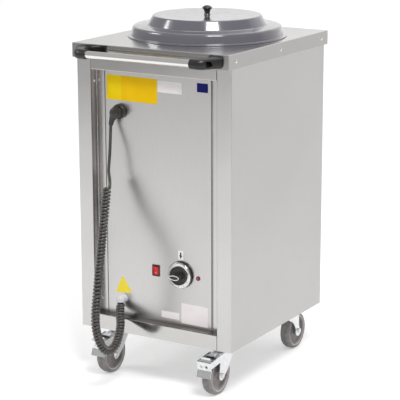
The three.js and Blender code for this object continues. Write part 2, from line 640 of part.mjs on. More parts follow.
// Each spring hangs under its hanger and is hooked to the end of an arm.
function carrierSpring(angle) {
  const top = HANGER_HEIGHT - FIT;
  const bottom = ARM_TOP + FIT;
  const height = top - bottom - 2 * SPRING_WIRE;
  class Helix extends THREE.Curve {
    getPoint(t) {
      const turn = 2 * Math.PI * SPRING_TURNS * t;
      const r = SPRING_RADIUS - SPRING_WIRE;
      return new THREE.Vector3(r * Math.cos(turn), r * Math.sin(turn), bottom + SPRING_WIRE + height * t);
    }
  }
  const wire = outline([[SPRING_WIRE, 0], [0, SPRING_WIRE], [-SPRING_WIRE, 0], [0, -SPRING_WIRE]]);
  const coil = new THREE.ExtrudeGeometry(wire, {
    steps: SPRING_TURNS * 6, extrudePath: new Helix(), bevelEnabled: false,
  });
  return coil.translate(SPRING_ORBIT, 0, 0).rotateZ(angle);
}
THIRDS.forEach((angle, i) => {
  place(well, `carrier_guide_${i + 1}`, carrierGuide(angle), plastic(0xe8e6df));
  place(well, `carrier_spring_${i + 1}`, carrierSpring(angle), zinc());
});

// ---------------------------------------------------------------- cover

const STUD_RADIUS = 3;
const lidSection = foldedPoints([
  [LID_RIM_RADIUS, LID_WALL], [LID_WALL_RADIUS + 2, LID_WALL], [LID_WALL_RADIUS - 2, LID_STEP_HEIGHT],
  [LID_CROWN_RADIUS, LID_STEP_HEIGHT + 2], [LID_TOP_RADIUS, LID_HEIGHT], [STUD_RADIUS + FIT, LID_HEIGHT + 1]],
LID_WALL, [0, 6, 0, 5], 1).map((p) => [p.x, p.y]);
place(well, 'lid', turned(closed(lidSection), WELL_SIDES), plastic(0x55545f, 0.25),
  [0, 0, TOP_HEIGHT + FIT]);

const LID_CENTRE = LID_HEIGHT + 1;
const nutTop = LID_CENTRE - LID_WALL - FIT;
const knobTop = LID_CENTRE + KNOB_HEIGHT;
const knobWidest = knobTop - KNOB_DOME;
place(well, 'lid_knob', turned([
  [0, nutTop - 5], [6.5, nutTop - 5], [6.5, nutTop], [STUD_RADIUS, nutTop], [STUD_RADIUS, LID_CENTRE + FIT],
  [KNOB_STEM_RADIUS, LID_CENTRE + FIT], [KNOB_STEM_RADIUS + 1, knobWidest - 9],
  [KNOB_STEM_RADIUS + 2, knobWidest - 5], [KNOB_HEAD_RADIUS - 3, knobWidest - 2.5],
  [KNOB_HEAD_RADIUS, knobWidest], [KNOB_HEAD_RADIUS - 1.6, knobWidest + 0.28 * KNOB_DOME],
  [0.6 * KNOB_HEAD_RADIUS, knobWidest + 0.7 * KNOB_DOME], [0.3 * KNOB_HEAD_RADIUS, knobTop - 0.5],
  [0, knobTop]], 12), plastic(BLACK, 0.3), [0, 0, TOP_HEIGHT + FIT]);

// ---------------------------------------------------------------- control panel

const GLAND_DROP = 9.5; // socket mouth below the neck's axis
const GLAND_NECK = GLAND_RADIUS - 4;
const SPINDLE_HOLE = SPINDLE_RADIUS + 0.6;
const SWITCH_DEPTH = 24;
const bodyHalf = { width: (SWITCH_WIDTH - 3) / 2, height: (SWITCH_HEIGHT - 3) / 2 };

function controlPanel() {
  const [bottom, top] = [SILL_TOP + FIT, HEADER_BOTTOM - FIT];
  const outer = block(PANEL_LEFT, PANEL_RIGHT, PANEL_FACE, PANEL_FACE + PANEL_FLANGE, bottom, top);
  const inner = block(PANEL_LEFT + SHEET, PANEL_RIGHT - SHEET,
    SHEET_BEHIND_PANEL, PANEL_FACE + PANEL_FLANGE + 1, bottom + SHEET, top - SHEET);
  const through = (radius, x, z, sides = 12) =>
    rodAlong('y', radius, PANEL_FACE - 1, SHEET_BEHIND_PANEL + 1, sides).translate(x, 0, z);
  const [holeWidth, holeHeight] = [bodyHalf.width + FIT, bodyHalf.height + FIT];
  const switchHole = block(SWITCH.x - holeWidth, SWITCH.x + holeWidth, PANEL_FACE - 1, SHEET_BEHIND_PANEL + 1,
    SWITCH.z - holeHeight, SWITCH.z + holeHeight);
  const pinHoles = [-1, 1].map((side) =>
    through(PIN_RADIUS + 2 * FIT, PLUG.x + (side * PIN_SPACING) / 2, PLUG.z, 8));
  return cut(outer, inner, switchHole, through(SPINDLE_HOLE, DIAL.x, DIAL.z),
    through(LAMP_RADIUS, LAMP.x, LAMP.z), through(around(GLAND_NECK, 12), GLAND.x, GLAND.z), ...pinHoles);
}
place(cart, 'control_panel', controlPanel(), polished());

// Everything on the panel is placed from its front face.
const panel = new THREE.Group();
panel.position.y = PANEL_FACE;
cart.add(panel);

const thermostatFront = SHEET + FIT;
place(panel, 'thermostat', cut(
  join(block(-22, 22, thermostatFront + 3, thermostatFront + 27, -18, 18),
    rodAlong('y', 7, thermostatFront, thermostatFront + 4, 12)),
  rodAlong('y', SPINDLE_RADIUS + FIT, thermostatFront - 1, thermostatFront + 15, 12)),
plastic(0xd9d4c6), [DIAL.x, 0, DIAL.z]);

// The dial turns with its spindle: black skirt, silver numbered band, round grip and pointer.
const bandFront = DIAL_SKIRT + DIAL_BAND;
const bandInner = GRIP_RADIUS - 2;
const dialBody = turnedForward([
  [0, FIT + 0.6], [DIAL_RADIUS - 1, FIT + 0.6], [DIAL_RADIUS, 2], [DIAL_RADIUS, DIAL_SKIRT],
  [bandInner - FIT, DIAL_SKIRT], [bandInner - FIT, bandFront + FIT], [GRIP_RADIUS, bandFront + FIT],
  [GRIP_RADIUS, bandFront + GRIP_DEPTH - 1], [GRIP_RADIUS - 1, bandFront + GRIP_DEPTH],
  [0, bandFront + GRIP_DEPTH]], 20);
const pointerOutline = new THREE.Shape();
pointerOutline.moveTo(-POINTER_NOSE, 0);
pointerOutline.lineTo(-0.43 * POINTER_NOSE, -0.39 * POINTER_WIDTH);
pointerOutline.absellipse(0, 0, POINTER_TAIL, POINTER_WIDTH / 2, -Math.PI / 2, Math.PI / 2);
pointerOutline.lineTo(-0.43 * POINTER_NOSE, 0.39 * POINTER_WIDTH);
pointerOutline.closePath();
const pointer = pull(pointerOutline, POINTER_HEIGHT + 1, 5).rotateX(Math.PI / 2)
  .translate(0, -(bandFront + GRIP_DEPTH - 1), 0);
const spindle = rodAlong('y', SPINDLE_RADIUS, -FIT - 2, thermostatFront + 14, 10);
place(panel, 'thermostat_knob', join(dialBody, pointer, spindle), plastic(BLACK, 0.4), [DIAL.x, 0, DIAL.z]);
place(panel, 'dial_band', turnedForward(closed([
  [bandInner, DIAL_SKIRT + FIT], [DIAL_RADIUS - 0.5, DIAL_SKIRT + FIT], [DIAL_RADIUS - 1.5, DIAL_SKIRT + 1.5],
  [DIAL_RADIUS - 6, bandFront], [bandInner, bandFront]]), 24), polished(), [DIAL.x, 0, DIAL.z]);

// Switch: a framed box open to the front, with a see-saw key on a pivot in it.
const keyHalf = { width: bodyHalf.width - SHEET - FIT, height: bodyHalf.height - SHEET - 0.8 };
const KEY_TILT = (7 * Math.PI) / 180;
const KEY_PIVOT = 2;
place(panel, 'switch_housing', cut(
  join(pullY(roundedBox(SWITCH_WIDTH, SWITCH_HEIGHT, 1.5), -2, -FIT),
    block(-bodyHalf.width, bodyHalf.width, -1, SWITCH_DEPTH, -bodyHalf.height, bodyHalf.height)),
  block(SHEET - bodyHalf.width, bodyHalf.width - SHEET, -3, SWITCH_DEPTH - 6,
    SHEET - bodyHalf.height, bodyHalf.height - SHEET)),
plastic(BLACK, 0.4), [SWITCH.x, 0, SWITCH.z]);
const keyOutline = outline([
  [-4.6, -keyHalf.height + 0.4], [-3, 0], [-4.6, keyHalf.height - 0.4],
  [2, keyHalf.height - 1.4], [5, 3], [5, -3], [2, -keyHalf.height + 1.4]]);
const switchKey = place(panel, 'switch_key', pullX(keyOutline, -keyHalf.width, keyHalf.width),
  plastic(0xd81a14, 0.3), [SWITCH.x, KEY_PIVOT, SWITCH.z]);
switchKey.rotation.x = KEY_TILT;

place(panel, 'pilot_lamp', turnedForward([
  [0, -20], [LAMP_RADIUS - FIT - 0.4, -20], [LAMP_RADIUS - FIT - 0.4, FIT], [LAMP_RADIUS + 1, FIT],
  [LAMP_RADIUS + 1, 1.6], [LAMP_RADIUS - 0.6, 2], [LAMP_RADIUS - 1.6, 4], [0, 5]], 10),
plastic(0xc01818, 0.25), [LAMP.x, 0, LAMP.z]);

// The gland turns the cord down: threaded neck with its nut, flange, and a domed socket.
place(panel, 'cable_gland', join(
  turnedForward([[0, -14], [GLAND_NECK, -14], [GLAND_NECK, FIT], [GLAND_RADIUS, FIT], [GLAND_RADIUS, 4],
    [GLAND_RADIUS - 3, 5], [GLAND_RADIUS - 3, GLAND_REACH], [0, GLAND_REACH]], 12),
  turned([[0, -GLAND_DROP], [GLAND_RADIUS, -GLAND_DROP], [GLAND_RADIUS, 1], [GLAND_RADIUS * 0.86, 6],
    [GLAND_RADIUS * 0.5, 9.5], [0, 11]], 12).translate(0, -GLAND_REACH, 0)),
plastic(0xe9e9ee, 0.35), [GLAND.x, 0, GLAND.z]);
place(panel, 'gland_nut', cut(
  rodAlong('y', GLAND_RADIUS + 1, SHEET + FIT, SHEET + FIT + 5, 6),
  rodAlong('y', around(GLAND_NECK, 12), 0, SHEET + 10, 12)),
plastic(0xe9e9ee, 0.35), [GLAND.x, 0, GLAND.z]);

place(cart, 'terminal_block', cut(
  block(-36, 36, -12, 12, 0, 20),
  ...[-2, -1, 0, 1, 2].map((i) => block(i * 14 - 1.2, i * 14 + 1.2, -13, 13, 12, 21))),
plastic(0xe6e2d6), [-110, PANEL_FACE + 60, PAN_TOP + FIT]);

// ---------------------------------------------------------------- cord and plug

const GLAND_MOUTH = [GLAND.x, PANEL_FACE - GLAND_REACH, GLAND.z - GLAND_DROP];

// The curly stretch: out of the gland, forward round its loop and up towards the parked plug.
const coilRoute = [
  [GLAND_MOUTH[0], GLAND_MOUTH[1], GLAND_MOUTH[2] - FIT],
  [GLAND_MOUTH[0], GLAND_MOUTH[1], GLAND_MOUTH[2] - 7],
  [-105, -244, 186],
  [-94, -260, 172],
  [-83.9, -274, 160],
  [-72.8, -299, 140],
  [-66.5, -325, 122],
  [-68.3, -350, 114],
  [-71.5, -371, 127],
  [-74.3, -386, 154],
  [-75.8, -395, 186],
  [-76, -396, 218.7],
  [-72.6, -391, 282.7],
  [-84, -360, 349],
  [-103.4, -316, 423.8],
  [-117.4, -276, 514.2],
];
place(cart, 'cord_coil', tube(coilRoute, COIL_RADIUS, 8, 24), plastic(0x3d3834, 0.6));

// The straight stretch, from the last turn up to the plug's strain relief.
const leadRoute = [
  [-117.45, -275.8, 514.6],
  [-119.5, -268, 532],
  [-118.5, -267.5, 553],
  [-118, -264, 575],
  [-119.5, -258, 600],
  [-123.5, -249, 630],
  [-127.5, -241, 655],
  [-128.6, -238, 667.7],
];
place(cart, 'cord_lead', tube(leadRoute, CORD_RADIUS, 8, 12), plastic(0x2b2927, 0.6));

// Angled plug, parked with its two pins in the holes of the control panel.
function plug() {
  const face = turnedForward([
    [0, FIT], [PLUG_RADIUS - 1, FIT], [PLUG_RADIUS, 2], [PLUG_RADIUS, 9], [PLUG_RADIUS - 3, 12],
    [0, 12]], 16);
  const neck = turnedForward([[0, 10], [15, 10], [15, 24], [13, 29], [8, 32], [0, 32.5]], 12)
    .translate(-1, 0, -1);
  const [end, before] = [7, 6].map((i) => new THREE.Vector3(
    leadRoute[i][0] - PLUG.x, leadRoute[i][1] - PANEL_FACE, leadRoute[i][2] - PLUG.z));
  const out = end.clone().sub(before).normalize();
  const [beyond, mouth] = [16, FIT].map((distance) => end.clone().addScaledVector(out, distance));
  const bend = new THREE.QuadraticBezierCurve3(new THREE.Vector3(-2, -19, -3), beyond, mouth);
  const relief = lofted([[0, 11], [0.3, 10], [0.5, 7.5], [0.8, 6.2], [1, 5.2]].map(([share, radius]) =>
    ringAcross(bend.getPoint(share), bend.getTangent(share), radius, 10)));
  const pins = [-1, 1].map((side) =>
    rodAlong('y', PIN_RADIUS, -2, 19, 8).translate((side * PIN_SPACING) / 2, 0, 0));
  return join(face, neck, relief, ...pins);
}
place(panel, 'plug', plug(), plastic(BLACK, 0.5), [PLUG.x, 0, PLUG.z]);

// ---------------------------------------------------------------- casters

const PLATE_TOP = CASTER_HEIGHT - FIT;
const PLATE_BOTTOM = PLATE_TOP - CASTER_PLATE.thickness;
const CROWN_TOP = 2 * WHEEL_RADIUS + FORK_CLEARANCE + FORK_STEEL;
const RACE_SPLIT = CROWN_TOP + 9;
const LEG_INNER = TYRE_WIDTH / 2 + HUB_CLEARANCE + FIT;
const LEG_OUTER = LEG_INNER + FORK_STEEL;
const PEDAL_PIN = 2.3;

// A bolt under the plate, up through the cabinet's floor.
function plateBolt([x, y]) {
  const head = PLATE_BOTTOM + 1;
  const tip = PAN_TOP + 8;
  return turned([
    [0, PLATE_BOTTOM - 4], [7, PLATE_BOTTOM - 4], [7, head], [CASTER_BOLTS.radius, head],
    [CASTER_BOLTS.radius, tip], [0, tip]], 6).translate(x, y, 0);
}

// Fixed upper half: bolt plate with its four bolts, bearing race and king pin with riveted head.
function casterPlate() {
  const plate = pull(roundedBox(CASTER_PLATE.width, CASTER_PLATE.length, 6), CASTER_PLATE.thickness, 2)
    .translate(0, 0, PLATE_BOTTOM);
  const pinHead = CROWN_TOP - FORK_STEEL - FIT;
  const race = turned([
    [0, pinHead - 3], [KING_PIN_RADIUS + 3, pinHead - 3], [KING_PIN_RADIUS + 3, pinHead],
    [KING_PIN_RADIUS, pinHead], [KING_PIN_RADIUS, RACE_SPLIT + FIT], [SWIVEL_RADIUS - 3, RACE_SPLIT + FIT],
    [SWIVEL_RADIUS + 1, PLATE_BOTTOM - 3], [SWIVEL_RADIUS + 1, PLATE_BOTTOM + 1], [0, PLATE_BOTTOM + 1]], 12);
  return join(plate, race, ...boltSpots({ x: 0, y: 0 }).map(plateBolt));
}

// Swivelling lower half: a pressed U-shaped fork under a bearing cup.
function casterFork(braked) {
  const section = [[LEG_OUTER, 20], [LEG_OUTER, CROWN_TOP], [-LEG_OUTER, CROWN_TOP], [-LEG_OUTER, 20]];
  const channel = pullY(folded(section, FORK_STEEL, 4), -60, 90);
  const cheek = new THREE.Shape();
  cheek.moveTo(-25, CROWN_TOP);
  if (braked) {
    cheek.lineTo(-21, CROWN_TOP - 14);
    cheek.lineTo(4, WHEEL_RADIUS + 10);
    cheek.absarc(TRAIL, WHEEL_RADIUS, 12.5, Math.PI + 0.55, 2 * Math.PI);
    cheek.lineTo(TRAIL + 8, CROWN_TOP - 23);
    cheek.lineTo(TRAIL + 24, CROWN_TOP - 6);
    cheek.lineTo(TRAIL + 24, CROWN_TOP);
  } else {
    for (const [y, drop] of [[-22, 13], [-14, 17.5], [-4, 22], [6, 29], [13, 38]]) {
      cheek.lineTo(y, CROWN_TOP - drop);
    }
    cheek.absarc(TRAIL, WHEEL_RADIUS, 15.5, Math.PI - 0.5, 1.85 * Math.PI);
    cheek.lineTo(TRAIL + 4, WHEEL_RADIUS + 12);
    cheek.lineTo(TRAIL + 3, CROWN_TOP - 14);
    cheek.lineTo(TRAIL + 9, CROWN_TOP - 6);
    cheek.lineTo(TRAIL + 9, CROWN_TOP);
  }
  const pressed = common(channel, pullX(cheek, -LEG_OUTER - 1, LEG_OUTER + 1));
  const cup = turned([
    [0, CROWN_TOP - FORK_STEEL], [SWIVEL_RADIUS - 6, CROWN_TOP - FORK_STEEL], [SWIVEL_RADIUS, CROWN_TOP + 1],
    [SWIVEL_RADIUS, RACE_SPLIT - 3], [SWIVEL_RADIUS - 3, RACE_SPLIT], [0, RACE_SPLIT]], 12);
  const bore = disc(around(KING_PIN_RADIUS, 8), CROWN_TOP - 10, RACE_SPLIT + 1, 8);
  const across = (radius, y, z) =>
    rodAlong('x', around(radius, 8), -LEG_OUTER - 1, LEG_OUTER + 1, 8).translate(0, y, z);
  const pedalHoles = braked ? [across(PEDAL_PIN, PEDAL_PIVOT.y, PEDAL_PIVOT.z)] : [];
  return cut(join(pressed, cup), bore, across(AXLE_RADIUS, TRAIL, WHEEL_RADIUS), ...pedalHoles);
}

// The axle bolt with its head and nut.
const axleEnd = LEG_OUTER + FIT;
const axle = () => turnedX([
  [0, -axleEnd - 5], [7, -axleEnd - 5], [7, -axleEnd], [AXLE_RADIUS, -axleEnd], [AXLE_RADIUS, axleEnd],
  [7, axleEnd], [7, axleEnd + 5], [0, axleEnd + 5]], 6);

const RIM_RADIUS = WHEEL_RADIUS - TYRE_DEPTH;
const WHEEL_SIDES = 18;
const hubEnd = TYRE_WIDTH / 2 + HUB_CLEARANCE;
const rimHalf = TYRE_WIDTH / 2 - 2.5;
const wheelBore = AXLE_RADIUS + FIT + 0.1;
const wheelCore = () => turnedX(closed([
  [wheelBore, -hubEnd], [HUB_RADIUS, -hubEnd], [HUB_RADIUS + 1, -5], [RIM_RADIUS - 6, -5],
  [RIM_RADIUS - 4, -rimHalf], [RIM_RADIUS, -rimHalf], [RIM_RADIUS, rimHalf], [RIM_RADIUS - 4, rimHalf],
  [RIM_RADIUS - 6, 5], [HUB_RADIUS + 1, 5], [HUB_RADIUS, hubEnd], [wheelBore, hubEnd]]), WHEEL_SIDES);
const tyre = () => turnedX(closed([
  [RIM_RADIUS + FIT, -TYRE_WIDTH / 2], [WHEEL_RADIUS - 3, -TYRE_WIDTH / 2],
  [WHEEL_RADIUS, 7 - TYRE_WIDTH / 2], [WHEEL_RADIUS, TYRE_WIDTH / 2 - 7], [WHEEL_RADIUS - 3, TYRE_WIDTH / 2],
  [RIM_RADIUS + FIT, TYRE_WIDTH / 2]]), WHEEL_SIDES);

// The foot brake: two arms outside the fork, a front plate with two holes above a toe pad, a
// release tab behind it and the brake shoe over the tyre.
function brakePedal() {
  const armInner = LEG_OUTER + FIT;
  const armOuter = armInner + PEDAL_STEEL;
  const { y: py, z: pz } = PEDAL_PIVOT;
  const front = PEDAL_REACH;
  const armShape = new THREE.Shape();
  armShape.absarc(py, pz, 6, Math.PI / 2, 1.4 * Math.PI);
  armShape.lineTo(py + 15.5, pz - 13.5);
  armShape.lineTo(front - 7, pz - 17.5);
  armShape.lineTo(front - 2.5, pz - 1);
  const arms = [pullX(armShape, armInner, armOuter), pullX(armShape, -armOuter, -armInner)];
  const web = folded([[front - 14, pz - 2], [front - 3, pz - 2], [front - 9, pz - 23.5],
    [front - 2, pz - 42.5]], PEDAL_STEEL, 1);
  const tread = pullX(outline(web.getPoints().map((p) => [p.x, p.y])), -armOuter, armOuter);
  const tab = block(-13, 13, front - 14, front - 12, pz - 2, pz + 8.5);
  const holes = [-7, 7].map((x) => rodAlong('y', 3.6, front - 10, front + 6, 10).translate(x, 0, pz - 13.5));
  const stubs = [[armInner - FIT - FORK_STEEL, armInner + 1], [-armInner - 1, -armInner + FIT + FORK_STEEL]]
    .map(([x0, x1]) => rodAlong('x', PEDAL_PIN, x0, x1, 8).translate(0, py, pz));
  const shoe = block(-11, 11, front - 32, front - 12, pz - 5.1, pz - 1);
  return cut(join(...arms, tread, tab, shoe, ...stubs), ...holes);
}

for (const spot of casterSpots) {
  const caster = new THREE.Group();
  caster.position.set(spot.x, spot.y, 0);
  caster.rotation.z = spot.braked ? Math.PI : 0;
  cart.add(caster);
  place(caster, `caster_plate_${spot.name}`, casterPlate(), zinc());
  place(caster, `caster_fork_${spot.name}`, casterFork(spot.braked), zinc());
  place(caster, `caster_axle_${spot.name}`, axle(), zinc(), [0, TRAIL, WHEEL_RADIUS]);
  place(caster, `wheel_core_${spot.name}`, wheelCore(), plastic(0x8c8688), [0, TRAIL, WHEEL_RADIUS]);
  place(caster, `wheel_tyre_${spot.name}`, tyre(), plastic(0x77706e, 0.7), [0, TRAIL, WHEEL_RADIUS]);
  if (spot.braked) place(caster, `brake_pedal_${spot.name}`, brakePedal(), zinc());
}

export default cart;
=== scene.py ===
"""Looks of the plate dispenser cart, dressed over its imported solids.

Lengths inside the script are millimetres in the cart's own frame, +Z up and the front towards
-Y, and make_piece() turns them into metres.
"""
import json
import math

import bmesh
import bpy
from mathutils import Matrix, Vector


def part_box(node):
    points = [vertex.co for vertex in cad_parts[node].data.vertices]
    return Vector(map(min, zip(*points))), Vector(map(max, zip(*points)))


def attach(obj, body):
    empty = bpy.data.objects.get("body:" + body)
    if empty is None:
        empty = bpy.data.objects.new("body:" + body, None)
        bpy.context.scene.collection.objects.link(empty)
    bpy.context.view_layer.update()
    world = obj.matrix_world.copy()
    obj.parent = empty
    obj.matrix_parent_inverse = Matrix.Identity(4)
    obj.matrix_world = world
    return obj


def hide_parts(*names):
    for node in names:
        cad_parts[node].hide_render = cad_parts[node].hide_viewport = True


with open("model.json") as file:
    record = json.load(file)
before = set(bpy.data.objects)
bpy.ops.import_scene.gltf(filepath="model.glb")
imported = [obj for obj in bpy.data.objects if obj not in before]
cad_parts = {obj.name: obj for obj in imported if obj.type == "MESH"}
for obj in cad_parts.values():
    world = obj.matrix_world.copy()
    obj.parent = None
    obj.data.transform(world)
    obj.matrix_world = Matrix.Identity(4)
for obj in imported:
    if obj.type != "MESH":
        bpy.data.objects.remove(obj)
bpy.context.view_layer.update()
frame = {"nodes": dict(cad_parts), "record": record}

MM = 0.001
TURN = 2 * math.pi


def corners(node):
    """Lowest and highest corner of a solid, in millimetres."""
    low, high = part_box(node)
    return low / MM, high / MM


def middle(node):
    low, high = corners(node)
    return (low + high) / 2


# ------------------------ sizes read from the solids

SIDE_LOW, SIDE_HIGH = corners("right_side_panel")
FRONT, BACK = SIDE_LOW.y, SIDE_HIGH.y
HALF_WIDTH = SIDE_HIGH.x
BODY_BOTTOM, BODY_TOP = SIDE_LOW.z, SIDE_HIGH.z
BODY_MIDDLE = (FRONT + BACK) / 2
LIP_EDGE = SIDE_LOW.x
HEADER_LOW, HEADER_HIGH = corners("front_header")
SILL_LOW, SILL_HIGH = corners("front_sill")
PANEL_LOW, PANEL_HIGH = corners("control_panel")
PANEL_FACE = PANEL_LOW.y
TOP_LOW, TOP_HIGH = corners("top_plate")
WELL = middle("lid")
COVER_LOW, COVER_HIGH = corners("lid")

SHEET = 1.2
FOLD = 1.0  # inside radius of a fold
GAP = 0.3

# ------------------------ camera

VIEW_AZIMUTH = math.radians(31.10)
VIEW_PITCH = math.radians(13.834)
VIEW_ROLL = math.radians(-0.165)
VIEW_FROM = Vector((2.0659, -3.4134, 1.4292))
FOCAL_WIDTHS = 3.92687  # focal length in picture widths


def in_scene(name, data):
    """A new object in the scene."""
    made = bpy.data.objects.new(name, data)
    bpy.context.scene.collection.objects.link(made)
    return made


def make_camera():
    data = bpy.data.cameras.new("camera")
    data.sensor_width = 36
    data.lens = FOCAL_WIDTHS * data.sensor_width
    camera = in_scene("camera", data)
    turn = Matrix.Rotation(VIEW_AZIMUTH, 4, "Z") @ Matrix.Rotation(math.pi / 2 - VIEW_PITCH, 4, "X")
    camera.matrix_world = Matrix.Translation(VIEW_FROM) @ turn @ Matrix.Rotation(VIEW_ROLL, 4, "Z")
    bpy.context.scene.camera = camera


make_camera()

# ------------------------ materials


def shader_input(made, name):
    return made.node_tree.nodes["Principled BSDF"].inputs[name]


def material(name, colour, roughness, metallic=0.0, coat=0.0, coat_roughness=0.05, specular=0.5):
    made = bpy.data.materials.new(name)
    made.use_nodes = True
    for given, value in (("Base Color", (*colour, 1)), ("Roughness", roughness),
                         ("Metallic", metallic), ("Coat Weight", coat),
                         ("Coat Roughness", coat_roughness), ("Specular IOR Level", specular)):
        shader_input(made, given).default_value = value
    return made


def noise(made, scale, detail=3.0, stretch=(1, 1, 1), roughness=0.5):
    """A noise value that runs in the piece's own coordinates."""
    nodes, links = made.node_tree.nodes, made.node_tree.links
    place = nodes.new("ShaderNodeTexCoord")
    mapping = nodes.new("ShaderNodeMapping")
    mapping.inputs["Scale"].default_value = stretch
    texture = nodes.new("ShaderNodeTexNoise")
    texture.inputs["Scale"].default_value = scale
    texture.inputs["Detail"].default_value = detail
    texture.inputs["Roughness"].default_value = roughness
    links.new(place.outputs["Object"], mapping.inputs["Vector"])
    links.new(mapping.outputs["Vector"], texture.inputs["Vector"])
    return texture.outputs["Fac"]


def remap(made, value, low, high, start=0.3, end=0.7):
    """The value's usual range, start to end, stretched over low to high."""
    node = made.node_tree.nodes.new("ShaderNodeMapRange")
    node.interpolation_type = "SMOOTHSTEP"
    for name, given in (("From Min", start), ("From Max", end), ("To Min", low), ("To Max", high)):
        node.inputs[name].default_value = given
    made.node_tree.links.new(value, node.inputs["Value"])
    return node.outputs["Result"]


def vary_roughness(made, value, low, high):
    links = made.node_tree.links
    links.new(remap(made, value, low, high), shader_input(made, "Roughness"))


def vary_colour(made, value, first, second):
    mix = made.node_tree.nodes.new("ShaderNodeMix")
    mix.data_type = "RGBA"
    mix.inputs["A"].default_value = (*first, 1)
    mix.inputs["B"].default_value = (*second, 1)
    links = made.node_tree.links
    links.new(remap(made, value, 0.0, 1.0), mix.inputs["Factor"])
    links.new(mix.outputs["Result"], shader_input(made, "Base Color"))


def bump(made, value, strength, distance):
    """Raises the surface by value; distance is in metres."""
    node = made.node_tree.nodes.new("ShaderNodeBump")
    node.inputs["Strength"].default_value = strength
    node.inputs["Distance"].default_value = distance
    links = made.node_tree.links
    links.new(value, node.inputs["Height"])
    links.new(node.outputs["Normal"], shader_input(made, "Normal"))


def shade(colour, share):
    return tuple(share * c for c in colour)


# How far a texture is pressed together along X, Y and Z, so that its streaks run along the rest.
VERTICAL = (40, 40, 1)
ALONG_X = (1, 40, 40)
ROUND = (6, 6, 40)


def steel(name, colour, smooth, rough, grain, second=None, scale=30, detail=4):
    """Polished stainless sheet: fine streaks along one axis over a slow change of polish."""
    made = material(name, colour, smooth, metallic=1.0)
    vary_roughness(made, noise(made, 5, detail=1), smooth, rough)
    vary_colour(made, noise(made, scale, detail, grain), colour, second or shade(colour, 0.965))
    return made


def moulded(name, colour, roughness, grain=900, depth=0.15, **sockets):
    """Moulded plastic with a fine skin and slightly uneven gloss."""
    made = material(name, colour, roughness, **sockets)
    vary_roughness(made, noise(made, 40), roughness - 0.05, roughness + 0.07)
    bump(made, noise(made, grain, detail=2), depth, 0.0002)
    return made


def mottled(made, colour, scale=70):
    """Gives a plain colour soft darker patches, such as handling leaves on rubber."""
    vary_colour(made, noise(made, scale, detail=4), shade(colour, 0.78), shade(colour, 1.1))
    return made


def galvanised(name, colour, smooth=0.18, rough=0.26):
    """Zinc plating: bright metal with cloudy patches."""
    made = material(name, colour, smooth, metallic=1.0)
    cloud = noise(made, 90, detail=4)
    vary_roughness(made, cloud, smooth, rough)
    vary_colour(made, cloud, colour, shade(colour, 0.9))
    return made


def printed(name, colour, faded):
    """A flat coloured plate, a little uneven in tone."""
    made = material(name, colour, 0.55, specular=0.15)
    vary_colour(made, noise(made, 25, detail=4), colour, faded)
    return made


STEEL = (0.62, 0.612, 0.60)
panel_steel = steel("panel_steel", (0.63, 0.622, 0.61), 0.285, 0.33, VERTICAL)
post_steel = steel("post_steel", STEEL, 0.18, 0.26, VERTICAL)
rail_steel = steel("rail_steel", (0.60, 0.59, 0.575), 0.10, 0.16, ALONG_X)
top_steel = steel("top_steel", (0.66, 0.65, 0.64), 0.19, 0.255, ALONG_X)
# A darker copy of the top's steel for the aprons: painted shade under the overhang.
apron_painted_shade = steel("apron_painted_shade", (0.46, 0.453, 0.445), 0.11, 0.17, ALONG_X)
# A darker copy of the posts' steel for the outer sides and the back: the darker tone is painted
# shade.
side_steel = steel("side_steel", (0.56, 0.555, 0.545), 0.30, 0.36, VERTICAL)
# Painted shade for the recess, with wide pale streaks that are painted reflection bands.
painted_shade_steel = steel("painted_shade_steel", (0.13, 0.115, 0.11), 0.18, 0.26, VERTICAL,
                     (0.46, 0.43, 0.42), scale=4, detail=2)
# The sill's top ledge is painted dark: a painted shadow under the panel's edge.
ledge_painted_shadow = steel("ledge_painted_shadow", (0.30, 0.265, 0.255), 0.16, 0.24, ALONG_X)
bar_steel = steel("bar_steel", (0.86, 0.85, 0.83), 0.08, 0.13, ALONG_X)
spun_steel = steel("spun_steel", STEEL, 0.14, 0.22, ROUND)
ring_steel = steel("ring_steel", (0.76, 0.75, 0.74), 0.16, 0.24, ROUND)
inner_steel = steel("inner_steel", (0.66, 0.66, 0.65), 0.3, 0.38, ROUND)
screw_steel = galvanised("screw_steel", (0.86, 0.86, 0.85))
zinc = galvanised("zinc", (0.86, 0.87, 0.88))
heater_steel = galvanised("heater_steel", (0.42, 0.36, 0.33), 0.3, 0.45)

cover_plastic = moulded("cover_plastic", (0.112, 0.107, 0.128), 0.16, grain=400, depth=0.05,
                        coat=1.0, coat_roughness=0.09)
knob_plastic = moulded("knob_plastic", (0.012, 0.012, 0.013), 0.2, depth=0.05, coat=0.5)
bracket_plastic = moulded("bracket_plastic", (0.012, 0.011, 0.011), 0.34, grain=500, depth=0.35)
dial_plastic = moulded("dial_plastic", (0.032, 0.028, 0.025), 0.38, grain=420, depth=0.5)
plug_rubber = moulded("plug_rubber", (0.028, 0.026, 0.025), 0.42, grain=600, depth=0.3)
cord_rubber = moulded("cord_rubber", (0.052, 0.045, 0.041), 0.3, grain=700, depth=0.12, coat=0.6,
                      coat_roughness=0.2)
white_plastic = moulded("white_plastic", (0.66, 0.66, 0.71), 0.3, grain=500, depth=0.1)
nylon = moulded("nylon", (0.78, 0.77, 0.72), 0.45)
red_key = moulded("red_key", (0.66, 0.008, 0.004), 0.32, depth=0.05, coat=0.15, specular=0.3)
mark_ink = moulded("mark_ink", (0.86, 0.36, 0.34), 0.5)
red_lens = moulded("red_lens", (0.42, 0.03, 0.06), 0.15, depth=0.03, coat=0.7)
dark_lens = moulded("dark_lens", (0.10, 0.008, 0.018), 0.25, depth=0.03, coat=0.4)
WHEEL_GREY = (0.30, 0.275, 0.275)
wheel_plastic = mottled(moulded("wheel_plastic", WHEEL_GREY, 0.5, grain=500, depth=0.3), WHEEL_GREY)
